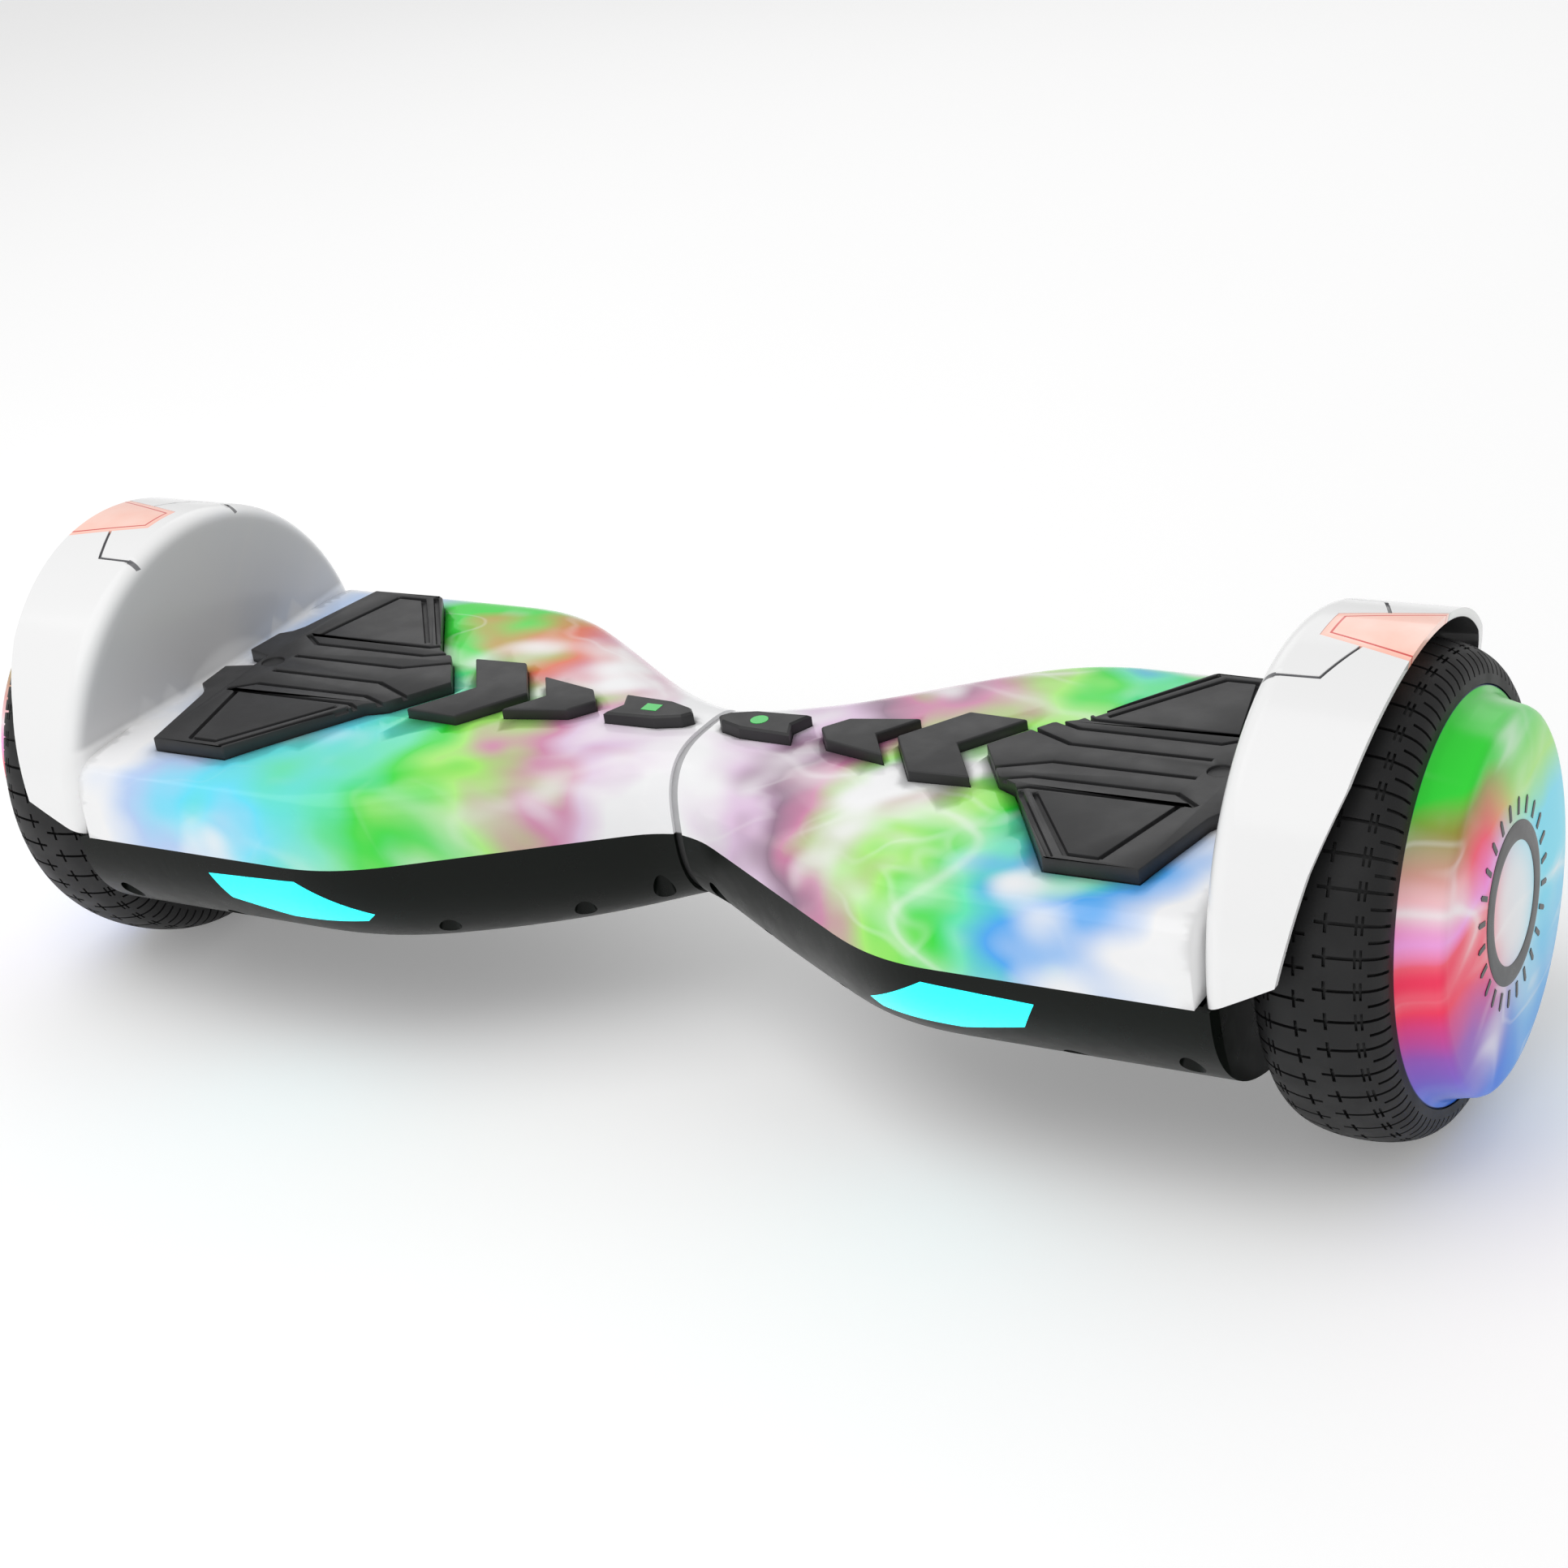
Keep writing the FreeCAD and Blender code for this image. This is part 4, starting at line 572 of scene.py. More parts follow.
def cap_finish():
    """The print on the hub caps, with a dark blue edge against the tyre."""
    made = Finish("printed_hub_cap", (0.9, 0.9, 0.9), 0.28, Coat_Weight=0.12,
                  Coat_Roughness=0.08, Specular_IOR_Level=0.15)
    _, y, z = made.split()
    upright = made.math("SUBTRACT", z, AXLE_Z)
    flat = made.add("ShaderNodeCombineXYZ", X=y, Y=upright)
    radius = made.vector("LENGTH", flat, (0, 0, 0), 1)
    share = wandering(made, made.math("MULTIPLY_ADD", upright, 0.5 / CAP_R, 0.5), flat, 0.25)
    tint = made.mix(made.ramp(y, -25 * MM, 15 * MM), made.bands(share, CAP_FRONT_BANDS),
                    made.bands(share, CAP_BACK_BANDS))
    tint = made.mix(made.ramp(radius, 8 * MM, 34 * MM, 0.85, 0.0), tint, WHITE)
    tint = plasma(made, flat, tint, 17.0, 0.55, 2.2, 0.3)
    edge = made.ramp(radius, CAP_R - 0.9 * MM, CAP_R - 0.5 * MM)
    made.set(made.shader, "Base Color", made.mix(edge, tint, (0.01, 0.03, 0.12)))
    made.bump(made.noise(300.0, 2.0), 0.05, 0.00003)
    return made.material


# The tail lens's outline: where it starts and ends, and its half width at either end.
LENS_START, LENS_REACH = 240.9 * MM, 274.0 * MM
LENS_NARROW, LENS_WIDE = 8.5 * MM, 19.2 * MM


def tail_finish():
    """A translucent salmon lens with a fine line moulded inside its outline."""
    made = Finish("tail_lens_salmon", tuple(colours().tail), 0.18, Coat_Weight=0.5,
                  Emission_Color=(1.0, 0.40, 0.30, 1.0), Emission_Strength=0.12)
    x, y, _ = made.split()
    along = made.math("ABSOLUTE", x)
    across = made.math("ABSOLUTE", y)
    slope = (LENS_WIDE - LENS_NARROW) / (LENS_REACH - LENS_START)
    flank = made.math("MULTIPLY_ADD", along, slope, LENS_NARROW - LENS_START * slope)
    to_flank = made.math("MULTIPLY", made.math("SUBTRACT", flank, across),
                         1 / math.hypot(1, slope))
    to_end = made.math("SUBTRACT", along, LENS_START + 0.1 * MM)
    inward = made.math("MINIMUM", to_flank, to_end)
    line = made.math("SUBTRACT", 1.0, made.ramp(
        made.math("ABSOLUTE", made.math("SUBTRACT", inward, 2.9 * MM)), 0.30 * MM, 0.50 * MM))
    rim = made.ramp(inward, 0.3 * MM, 2.4 * MM, 0.35, 0.0)
    warm = made.mix(made.noise(60.0, 3.0), tuple(colours().tail), (1.0, 0.78, 0.70))
    warm = made.mix(rim, warm, (1.0, 0.42, 0.32))
    made.set(made.shader, "Base Color", made.mix(line, warm, tuple(colours().tail_line)))
    return made.material


def seal_finish():
    """Pale grey between the upper shells and black between the lower ones."""
    made = Finish("centre_seal_rubber", (0.5, 0.5, 0.5), 0.5)
    high = made.ramp(made.split()[2], SEAM_Z - 0.4 * MM, SEAM_Z + 0.4 * MM)
    speckle = made.noise(200.0, 3.0)
    grey = made.mix(speckle, (0.42, 0.42, 0.43), (0.50, 0.50, 0.51))
    made.set(made.shader, "Base Color", made.mix(high, (0.01, 0.01, 0.01), grey))
    made.bump(made.noise(900.0, 2.0), 0.2, 0.00004)
    return made.material


def rubber(name, base, roughness, dust):
    """Rubber with a fine grain, a few dull patches and a trace of dust."""
    made = Finish(name, base, roughness, Specular_IOR_Level=0.3)
    patches = made.noise(40.0, 4.0)
    pale = tuple(channel * 1.3 + dust for channel in base)
    made.set(made.shader, "Base Color", made.mix(made.ramp(patches, 0.45, 0.8), base, pale))
    made.set(made.shader, "Roughness",
             made.ramp(made.noise(90.0, 3.0), 0.3, 0.7, roughness * 0.88, roughness * 1.08))
    made.bump(made.noise(1400.0, 2.0), 0.30, 0.00006)
    return made.material


def glowing(name, base, strength, scale):
    """A lit diffuser, a little uneven behind its face."""
    made = Finish(name, base, 0.25, Coat_Weight=0.3)
    dim = tuple(channel * 0.86 for channel in base)
    shade = made.mix(made.noise(scale, 2.0), dim, base)
    made.set(made.shader, "Base Color", shade)
    made.set(made.shader, "Emission Color", shade)
    made.set(made.shader, "Emission Strength", strength)
    return made.material


def lower_finish():
    made = plain_finish("gloss_black_shell", tuple(colours().lower), 0.30, 500.0, 0.00002, 0.2,
                        Specular_IOR_Level=0.16)
    return made.material


# How each inner finish looks: base colour, roughness and how metallic it is.
INNER = {
    "cast_aluminium": ((0.55, 0.56, 0.57), 0.45, 1.0),
    "steel": ((0.42, 0.42, 0.43), 0.32, 1.0),
    "circuit_board": ((0.02, 0.16, 0.07), 0.45, 0.0),
    "bronze": ((0.55, 0.33, 0.14), 0.40, 1.0),
    "copper_core": ((0.60, 0.25, 0.12), 0.38, 1.0),
    "magnet": ((0.30, 0.30, 0.31), 0.25, 1.0),
    "battery_wrap": ((0.02, 0.06, 0.28), 0.35, 0.0),
    "black_plastic": ((0.02, 0.02, 0.02), 0.40, 0.0),
}


class Hoverboard:
    """What every operator of this add-on shares."""

    bl_options = {"REGISTER"}

    def execute(self, context):
        self.make()
        return {"FINISHED"}


# ---------------------------------------------------------------- upper and lower shells

def crown_cutter(name, points, width, depth, side):
    """A cutter that follows a line on the fender's round crown at an even depth."""
    dense = []
    for (x0, y0), (x1, y1) in zip(points, points[1:]):
        for i in range(6):
            dense.append((x0 + (x1 - x0) * i / 6, y0 + (y1 - y0) * i / 6))
    dense.append(points[-1])
    outline = stroke(dense, width / MM)
    count = len(dense)
    shape = bmesh.new()
    rows = []
    for i in range(count):
        y = dense[i][1] * MM
        top = AXLE_Z + math.sqrt(FENDER_R ** 2 - y ** 2)
        row = []
        for x, across in (outline[i], outline[2 * count - 1 - i]):
            row += [(side * x * MM, across * MM, top - depth),
                    (side * x * MM, across * MM, top + 4 * MM)]
        rows.append([shape.verts.new(co) for co in row])
    for a, b in zip(rows, rows[1:]):
        for i, j in ((0, 1), (1, 3), (3, 2), (2, 0)):
            shape.faces.new((a[i], a[j], b[j], b[i]))
    for row in (rows[0], rows[-1]):
        shape.faces.new((row[0], row[1], row[3], row[2]))
    return from_bmesh(name, shape)


class HOVERBOARD_OT_top_shells(Hoverboard, bpy.types.Operator):
    """White upper shells with grooves beside their tail lenses"""

    bl_idname = "hoverboard.top_shells"
    bl_label = "Upper shells"

    def make(self):
        finish = shell_finish()
        for hand, side in SIDES.items():
            shell = node_copy(hand + "_top_shell", hand + "_upper_shell")
            cutters = []
            for flip in (1, -1):
                points = [(x, flip * y) for x, y in FENDER_GROOVE]
                cutters.append(crown_cutter("groove", points, sizes().fender_groove,
                                            1.1 * MM, side))
            carve(shell, cutters)
            smooth(shell)
            round_crown(shell)
            ready(shell, hand + "_half", finish, [hand + "_top_shell"])


class HOVERBOARD_OT_lower_shells(Hoverboard, bpy.types.Operator):
    """Gloss black lower shells"""

    bl_idname = "hoverboard.lower_shells"
    bl_label = "Lower shells"

    def make(self):
        finish = lower_finish()
        for hand in SIDES:
            NODES[hand + "_bottom_shell"].material_slots[0].material = finish
        NODES["centre_seal"].material_slots[0].material = seal_finish()


# ---------------------------------------------------------------- rubber on the deck

FOOT_PAD = [(113.5, 0), (128.5, 21.5), (136.5, 25.5), (168.0, 71.5), (201.5, 71.5),
            (209.0, 33.0), (211.5, 28.0), (216.0, 24.5), (217.5, 8.0), (206.0, 4.5)]
PAD_GROOVES = [
    [(124.0, 15.5), (142.0, 7.0), (194.0, 7.0)],
    [(129.0, 23.5), (140.0, 19.0), (192.5, 19.0), (202.0, 26.0)],
    [(137.5, 29.0), (142.0, 26.5), (198.0, 26.5)],
    [(196.6, 26.5), (186.5, 67.5)],
    [(140.5, 30.0), (170.5, 70.5)],
    [(146.0, 30.0), (174.5, 67.5), (186.5, 67.5)],
]
PLUNGERS = [(165.0, 45.0), (165.0, -45.0)]
PLUNGER_R = 5.0 * MM
PAD_HEIGHT = 5.6 * MM
TRIMS = {
    "big_chevron": [(78.5, 0), (95.1, 24.3), (118.2, 23.2), (102.1, 0)],
    "small_chevron": [(47.9, 0), (54.7, 9.2), (80.5, 15.1), (70.0, 0)],
}


def both_sides(points):
    return points + [(x, -y) for x, y in points if y > 0][::-1]


def mirrored_line(points, flip):
    return [(x, flip * y) for x, y in points]


class HOVERBOARD_OT_foot_pads(Hoverboard, bpy.types.Operator):
    """Rubber foot pads with moulded grooves, and the plungers below them"""

    bl_idname = "hoverboard.foot_pads"
    bl_label = "Foot pads"

    def make(self):
        finish = rubber("foot_pad_rubber", tuple(colours().pad), 0.42, 0.004)
        top = PAD_HIGH[2]
        low = top - PAD_HEIGHT
        for hand, side in SIDES.items():
            pad = prism(hand + "_foot_pad_moulding", both_sides(FOOT_PAD), low, top, side)
            cutters = []
            for line in PAD_GROOVES:
                for flip in (1, -1):
                    outline = stroke(mirrored_line(line, flip), sizes().pad_groove / MM)
                    cutters.append(prism("groove", outline, top - sizes().pad_groove_depth,
                                         top + 3 * MM, side))
            round_hole = [(199.8 + 4.6 * math.cos(a), 4.6 * math.sin(a))
                          for a in [math.pi * i / 12 for i in range(24)]]
            cutters.append(prism("hole", round_hole, top - 1.2 * MM, top + 3 * MM, side))
            for cutter in cutters:
                carve(pad, [cutter])
            soften(pad, sizes().rubber_round, 2, 40.0)
            shape = bmesh.new()
            shape.from_mesh(pad.data)
            root = low + 1 * MM
            for x, y in PLUNGERS:
                place = Matrix.Translation((side * x * MM, y * MM, (PAD_LOW[2] + root) / 2))
                bmesh.ops.create_cone(shape, cap_ends=True, segments=24, radius1=PLUNGER_R,
                                      radius2=PLUNGER_R, depth=root - PAD_LOW[2], matrix=place)
            shape.to_mesh(pad.data)
            shape.free()
            smooth(pad)
            ready(pad, hand + "_foot_pad", finish, [hand + "_foot_pad"])


class HOVERBOARD_OT_deck_trims(Hoverboard, bpy.types.Operator):
    """Rubber chevrons, and the indicator pads with their lenses"""

    bl_idname = "hoverboard.deck_trims"
    bl_label = "Chevrons and indicators"

    def make(self):
        finish = rubber("chevron_rubber", tuple(colours().pad), 0.42, 0.004)
        green = glowing("indicator_green_lens", tuple(colours().indicator), 0.15, 900.0)
        low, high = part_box("right_chevrons")
        for hand, side in SIDES.items():
            shapes = []
            for name, outline in TRIMS.items():
                trim = prism(name, both_sides(outline), low[2], high[2], side)
                soften(trim, 0.8 * MM, 3, 40.0)
                shapes.append(trim)
            joined = bmesh.new()
            for trim in shapes:
                joined.from_mesh(trim.data)
                bpy.data.objects.remove(trim)
            piece = from_bmesh(hand + "_chevron_mouldings", joined)
            smooth(piece)
            ready(piece, hand + "_half", finish, [hand + "_chevrons"])
            NODES[hand + "_indicator_pad"].material_slots[0].material = finish
            NODES[hand + "_indicator_lens"].material_slots[0].material = green


# ---------------------------------------------------------------- wheels

def tyre_profile(reach):
    """The tyre's outside from its inner side over the crown: (x, radius) at a share of arc."""
    angle = reach * math.pi / 2
    across = math.copysign(abs(math.sin(angle)) ** 0.92, angle)
    return TYRE_MID + (TYRE_OUT - TYRE_IN) / 2 * across, (
        WHEEL_R - 13.5 * MM * (1 - max(math.cos(angle), 0.0) ** 0.72))


def arc_table(steps=400):
    """Pairs of arc length from the crown and the share of the profile that it stands at."""
    table = []
    run = 0.0
    last = tyre_profile(0.0)
    for i in range(steps + 1):
        here = tyre_profile(i / steps)
        run += math.dist(here, last)
        last = here
        table.append((run, i / steps))
    return table


ARCS = arc_table()
HALF_ARC = ARCS[-1][0]


def share_at(arc):
    """The share of the profile at an arc length from the crown, either side."""
    wanted = min(abs(arc), HALF_ARC)
    for (run0, share0), (run1, share1) in zip(ARCS, ARCS[1:]):
        if run1 >= wanted:
            part = (wanted - run0) / (run1 - run0) if run1 > run0 else 0.0
            return math.copysign(share0 + (share1 - share0) * part, arc)
    return math.copysign(1.0, arc)


def tread_cuts(pitch, sipe):
    """Sipes of one pitch as (arc low, arc high, round low, round high) in metres."""
    half = sipe / 2
    arm = 3.1 * MM
    cuts = []
    for side, start in ((1, pitch * 0.25), (-1, pitch * 0.65)):
        near, far, edge = 4.9 * MM, 15.2 * MM, HALF_ARC - 3.2 * MM
        pieces = [(1.3 * MM, edge, start, half), (near - half, near + half, start, arm),
                  (far - 1.3 * MM, far - 0.5 * MM, start, arm),
                  (far + 0.5 * MM, far + 1.3 * MM, start, arm),
                  (18.2 * MM, edge, start + pitch / 2, half)]
        for low, high, middle, reach in pieces:
            span = (low, high) if side > 0 else (-high, -low)
            cuts.append((*span, middle - reach, middle + reach))
    return cuts


def tread_sector(name, pitches, depth, sipe):
    """One pitch of the tyre as mesh relative to the axle, with sipes cut to an even depth."""
    pitch = 2 * math.pi * WHEEL_R / pitches
    cuts = tread_cuts(pitch, sipe)
    wrapped = []
    for low, high, first, last in cuts:
        for shift in (-pitch, 0.0, pitch):
            if last + shift > 0 and first + shift < pitch:
                wrapped.append((low, high, max(first + shift, 0.0), min(last + shift, pitch)))
    arcs = {-HALF_ARC, HALF_ARC} | {value for cut in wrapped for value in cut[:2]}
    arcs |= {HALF_ARC * i / 14 for i in range(-14, 15)}
    rounds = {0.0, pitch} | {value for cut in wrapped for value in cut[2:]}

    def thinned(values, least):
        kept = []
        for value in sorted(values):
            if not kept or value - kept[-1] > least:
                kept.append(value)
        return kept

    arcs = thinned(arcs, 0.02 * MM)
    rounds = thinned(rounds, 0.02 * MM)

    def cut_here(arc, place):
        return any(low < arc < high and first < place < last
                   for low, high, first, last in wrapped)

    shape = bmesh.new()

    def vertex(arc, place, sunk):
        share = share_at(arc)
        x, r = tyre_profile(share)
        if sunk:
            x0, r0 = tyre_profile(max(share - 0.01, -1.0))
            x1, r1 = tyre_profile(min(share + 0.01, 1.0))
            along = Vector((x1 - x0, r1 - r0)).normalized()
            x += along.y * depth
            r -= along.x * depth
        angle = place / WHEEL_R
        return shape.verts.new((x, r * math.cos(angle), r * math.sin(angle)))

    cells = [[cut_here((arcs[i] + arcs[i + 1]) / 2, (rounds[j] + rounds[j + 1]) / 2)
              for j in range(len(rounds) - 1)] for i in range(len(arcs) - 1)]
    across, around = len(arcs) - 1, len(rounds) - 1

    def add_face(points):
        """Add a face from (arc, place, sunk) corners."""
        shape.faces.new([vertex(*point) for point in points])

    for i in range(across):
        for j in range(around):
            a0, a1, p0, p1 = arcs[i], arcs[i + 1], rounds[j], rounds[j + 1]
            sunk = cells[i][j]
            add_face([(a0, p0, sunk), (a1, p0, sunk), (a1, p1, sunk), (a0, p1, sunk)])
            if not sunk:
                continue
            if not cells[i - 1][j]:
                add_face([(a0, p1, False), (a0, p0, False), (a0, p0, True), (a0, p1, True)])
            if not cells[i + 1][j]:
                add_face([(a1, p0, False), (a1, p1, False), (a1, p1, True), (a1, p0, True)])
            if not cells[i][j - 1]:
                add_face([(a0, p0, False), (a1, p0, False), (a1, p0, True), (a0, p0, True)])
            if not cells[i][(j + 1) % around]:
                add_face([(a1, p1, False), (a0, p1, False), (a0, p1, True), (a1, p1, True)])
    bead_out = [tyre_profile(1.0), (TYRE_OUT - 0.9 * MM, CAP_R + 0.1 * MM),
                (TYRE_OUT - 2.0 * MM, 66.4 * MM), (TYRE_OUT - 5.0 * MM, 60.2 * MM),
                (TYRE_IN + 4.6 * MM, 60.2 * MM), (TYRE_IN + 4.6 * MM, 66.3 * MM),
                (TYRE_IN + 1.2 * MM, 67.2 * MM), tyre_profile(-1.0)]
    for (x0, r0), (x1, r1) in zip(bead_out, bead_out[1:]):
        for p0, p1 in zip(rounds, rounds[1:]):
            corners = []
            for x, r, p in ((x0, r0, p0), (x1, r1, p0), (x1, r1, p1), (x0, r0, p1)):
                angle = p / WHEEL_R
                corners.append(shape.verts.new((x, r * math.cos(angle), r * math.sin(angle))))
            shape.faces.new(corners)
    bmesh.ops.remove_doubles(shape, verts=shape.verts, dist=1e-7)
    mesh = bpy.data.meshes.new(name)
    shape.to_mesh(mesh)
    shape.free()
    return add_object(name, mesh)


def flip_x(piece):
    """Mirror a finished piece to the left side and turn its faces outwards again."""
    shape = bmesh.new()
    shape.from_mesh(piece.data)
    bmesh.ops.transform(shape, matrix=Matrix.Scale(-1, 4, (1, 0, 0)), verts=shape.verts)
    bmesh.ops.reverse_faces(shape, faces=shape.faces)
    shape.to_mesh(piece.data)
    shape.free()


def face_outwards(piece):
    shape = bmesh.new()
    shape.from_mesh(piece.data)
    bmesh.ops.recalc_face_normals(shape, faces=shape.faces)
    shape.to_mesh(piece.data)
    shape.free()


class HOVERBOARD_OT_tyres(Hoverboard, bpy.types.Operator):
    """Tyres whose tread is one pitch repeated around the axle"""

    bl_idname = "hoverboard.tyres"
    bl_label = "Tyres"

    def make(self):
        finish = rubber("tyre_tread_rubber", tuple(colours().tyre), 0.55, 0.003)
        for hand, side in SIDES.items():
            tyre = tread_sector(hand + "_tyre_tread", sizes().tread_pitches,
                                sizes().tread_depth, sizes().sipe)
            repeat_ring(tyre, sizes().tread_pitches, finish)
            face_outwards(tyre)
            if side < 0:
                flip_x(tyre)
            smooth(tyre, 35.0)
            ready(tyre, hand + "_wheel", finish, [hand + "_tyre"])


CAP_PROFILE = [(280.1, 68.9), (281.5, 68.9), (281.9, 68.4), (282.3, 67.2), (283.6, 66.0),
               (286.5, 64.9), (290.0, 64.0), (293.2, 63.4), (294.7, 62.7), (295.5, 61.5),
               (295.9, 59.8), (296.5, 52.0), (297.0, 42.0), (297.4, 30.0), (297.65, 15.0),
               (297.7, 0.0), (295.6, 0.0), (295.2, 30.0), (294.4, 52.0), (293.4, 60.0),
               (292.0, 61.6), (286.0, 62.6), (280.1, 64.2)]


def dome(radius):
    """How far out the cap's face stands at a radius, in millimetres."""
    face = sorted((r, x) for x, r in CAP_PROFILE[10:16])
    for (r0, x0), (r1, x1) in zip(face, face[1:]):
        if r0 <= radius <= r1:
            return x0 + (x1 - x0) * (radius - r0) / (r1 - r0)
    return face[-1][1]


def ring_profile(inner, outer, height, steps=6):
    """A low ring that follows the cap's dome, with eased corners."""
    top = []
    for i in range(steps + 1):
        r = inner + (outer - inner) * i / steps
        ease = 0.12 if i in (0, steps) else 0.0
        top.append((dome(r) + height - ease, r))
    return top + [(dome(outer) - 0.3, outer), (dome(inner) - 0.3, inner)]


class HOVERBOARD_OT_hub_caps(Hoverboard, bpy.types.Operator):
    """Printed hub caps, each with a plain ring and short bars on its face"""

    bl_idname = "hoverboard.hub_caps"
    bl_label = "Hub caps"

    def make(self):
        finish = cap_finish()
        dark = plain_finish("cap_ornament_black", (0.012, 0.012, 0.013), 0.3, 700.0,
                            0.00002, 0.2).material
        for hand, side in SIDES.items():
            cap = lathe(hand + "_hub_cap_cover", CAP_PROFILE, side)
            smooth(cap, 40.0)
            ready(cap, hand + "_wheel", finish, [hand + "_hub_cap"])
            ring = lathe(hand + "_cap_ring", ring_profile(20.5, 27.0, 0.28), side, 96)
            smooth(ring, 40.0)
            ready(ring, hand + "_wheel", dark)
            bar = self.bar(hand + "_cap_bars", side)
            repeat_ring(bar, sizes().cap_marks, dark, 1e-7)
            face_outwards(bar)
            smooth(bar, 40.0)
            ready(bar, hand + "_wheel", dark)

    def bar(self, name, side):
        """One short bar that points out from the axle, relative to it."""
        shape = bmesh.new()
        inner, outer, half, height = 29.0, 35.0, 0.9, 0.25
        spots = [(inner, -half), (outer - half, -half), (outer, 0.0), (outer - half, half),
                 (inner, half)]
        rings = []
        for lift in (-0.3, height):
            rings.append([shape.verts.new((side * (dome(r) + lift) * MM, r * MM, t * MM))
                          for r, t in spots])
        count = len(spots)
        for i in range(count):
            j = (i + 1) % count
            shape.faces.new((rings[0][i], rings[0][j], rings[1][j], rings[1][i]))
        shape.faces.new(rings[0])
        shape.faces.new(rings[1])
        return from_bmesh(name, shape, 1e-8)


# ---------------------------------------------------------------- lights, port and inside

class HOVERBOARD_OT_lights(Hoverboard, bpy.types.Operator):
    """Light bars and tail lenses"""

    bl_idname = "hoverboard.lights"
    bl_label = "Lights"

    def make(self):
        bar = glowing("light_bar_cyan", tuple(colours().light), 0.9, 25.0)
        tail = tail_finish()
        for hand in SIDES:
            NODES[hand + "_light_bar"].material_slots[0].material = bar
            NODES[hand + "_tail_lens"].material_slots[0].material = tail


class HOVERBOARD_OT_fittings(Hoverboard, bpy.types.Operator):
    """Finishes of the charge port, the power button, the screws and everything inside"""

    bl_idname = "hoverboard.fittings"
    bl_label = "Fittings and inside"

    def make(self):
        made = {}
        for slot, (base, roughness, metal) in INNER.items():
            made[slot] = plain_finish(slot + "_finish", base, roughness, Metallic=metal).material
        made["pad_rubber"] = rubber("charge_flap_rubber", (0.02, 0.02, 0.02), 0.5, 0.003)
        for node in NODES.values():
            for slot in node.material_slots:
                if slot.material and slot.material.name in made:
                    slot.material = made[slot.material.name]


# ---------------------------------------------------------------- stage

CAMERA_PLACE = Vector((0.585, -0.853, 0.574))
CAMERA_TURN = (33.1, 25.33, -8.34)
FLOOR_GLOW = 0.20
SKY_STRENGTH = 0.58


def area_light(name, place, target, width, depth, power):
    data = bpy.data.lights.new(name, "AREA")
    data.shape = "RECTANGLE"
    data.size = width
    data.size_y = depth
    data.energy = power
    lamp = add_object(name, data)
    lamp.location = place
    aim = Vector(target) - Vector(place)
    lamp.rotation_euler = aim.to_track_quat("-Z", "Y").to_euler()
    return lamp


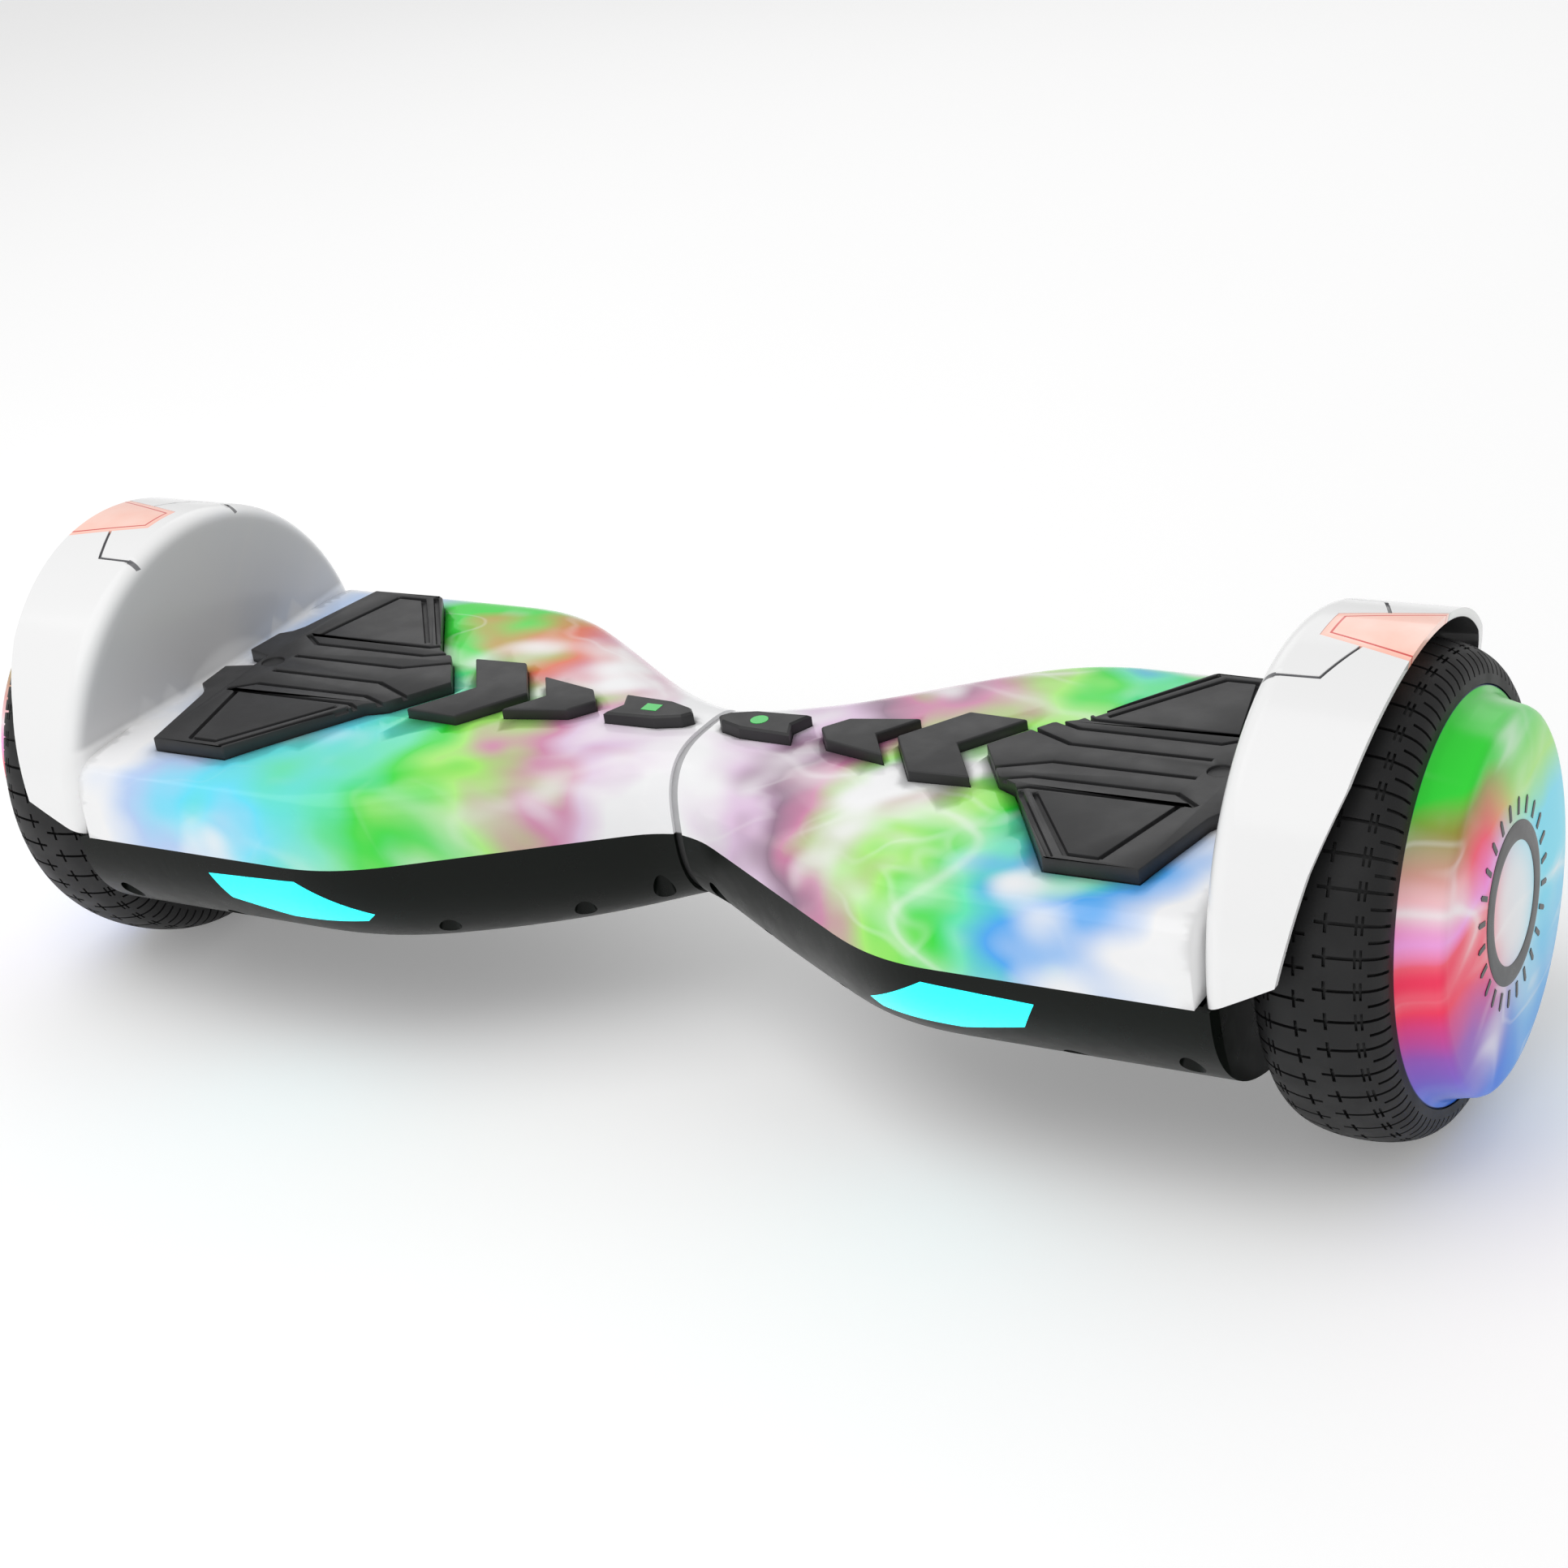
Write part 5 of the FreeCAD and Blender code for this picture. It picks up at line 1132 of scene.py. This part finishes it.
class HOVERBOARD_OT_stage(Hoverboard, bpy.types.Operator):
    """Pale floor, soft studio light and the camera"""

    bl_idname = "hoverboard.stage"
    bl_label = "Stage"

    def make(self):
        scene = bpy.context.scene
        settings = stage_settings()
        floor_finish = Finish("pale_floor", tuple(settings.floor), 0.75)
        tone = floor_finish.mix(floor_finish.noise(3.0, 2.0), tuple(settings.floor),
                                tuple(channel * 0.985 for channel in settings.floor))
        floor_finish.set(floor_finish.shader, "Base Color", tone)
        floor_finish.set(floor_finish.shader, "Emission Color", tone)
        floor_finish.set(floor_finish.shader, "Emission Strength", FLOOR_GLOW)
        shape = bmesh.new()
        bmesh.ops.create_grid(shape, x_segments=1, y_segments=1, size=6.0)
        floor = from_bmesh("floor", shape)
        paint(floor, floor_finish.material)
        self.world(scene)
        area_light("key", (-0.45, -0.55, 1.7), (0, 0, 0.1), 1.9, 1.3, settings.key_power)
        area_light("fill", (0.5, -1.8, 0.7), (0, 0, 0.08), 1.4, 0.8, settings.fill_power)
        area_light("back", (-0.5, 1.6, 1.1), (0, 0, 0.1), 1.8, 0.8, settings.back_power)
        self.camera(scene, settings)
        scene.view_settings.view_transform = "Standard"
        scene.view_settings.look = "None"

    def world(self, scene):
        world = bpy.data.worlds.new("pale_room")
        world.use_nodes = True
        sky = world.node_tree.nodes["Background"]
        sky.inputs["Color"].default_value = (1.0, 1.0, 1.0, 1.0)
        sky.inputs["Strength"].default_value = SKY_STRENGTH
        scene.world = world

    def camera(self, scene, settings):
        azimuth, elevation, roll = (math.radians(angle) for angle in CAMERA_TURN)
        ahead = Vector((-math.sin(azimuth) * math.cos(elevation),
                        math.cos(azimuth) * math.cos(elevation), -math.sin(elevation)))
        level = Vector((math.cos(azimuth), math.sin(azimuth), 0.0))
        upward = level.cross(ahead)
        right = math.cos(roll) * level + math.sin(roll) * upward
        top = -math.sin(roll) * level + math.cos(roll) * upward
        data = bpy.data.cameras.new("camera")
        data.lens = settings.camera_lens
        data.sensor_width = 36.0
        data.clip_end = 100.0
        camera = add_object("camera", data)
        turn = Matrix((right, top, -ahead)).transposed().to_4x4()
        camera.matrix_world = Matrix.Translation(CAMERA_PLACE) @ turn
        scene.camera = camera


STEPS = [HOVERBOARD_OT_top_shells, HOVERBOARD_OT_lower_shells, HOVERBOARD_OT_foot_pads,
         HOVERBOARD_OT_deck_trims, HOVERBOARD_OT_tyres, HOVERBOARD_OT_hub_caps,
         HOVERBOARD_OT_lights, HOVERBOARD_OT_fittings, HOVERBOARD_OT_stage]


class HOVERBOARD_PT_panel(bpy.types.Panel):
    """Lists the board's pieces and settings in the sidebar"""

    bl_label = "Hoverboard"
    bl_idname = "HOVERBOARD_PT_panel"
    bl_space_type = "VIEW_3D"
    bl_region_type = "UI"
    bl_category = "Hoverboard"

    def draw(self, context):
        layout = self.layout
        for group in GROUPS.values():
            values = getattr(context.scene, group)
            for name in values.__annotations__:
                layout.prop(values, name)
        for step in STEPS:
            layout.operator(step.bl_idname)


GROUPS = {HoverboardSizes: "hoverboard_sizes", HoverboardColours: "hoverboard_colours",
          HoverboardStage: "hoverboard_stage"}
CLASSES = [*GROUPS, *STEPS, HOVERBOARD_PT_panel]


def register():
    for kind in CLASSES:
        bpy.utils.register_class(kind)
    for kind, name in GROUPS.items():
        setattr(bpy.types.Scene, name, bpy.props.PointerProperty(type=kind))


def unregister():
    for name in GROUPS.values():
        delattr(bpy.types.Scene, name)
    for kind in reversed(CLASSES):
        bpy.utils.unregister_class(kind)


def main():
    register()
    for step in STEPS:
        group, name = step.bl_idname.split(".")
        getattr(getattr(bpy.ops, group), name)()


if __name__ == "__main__":
    main()
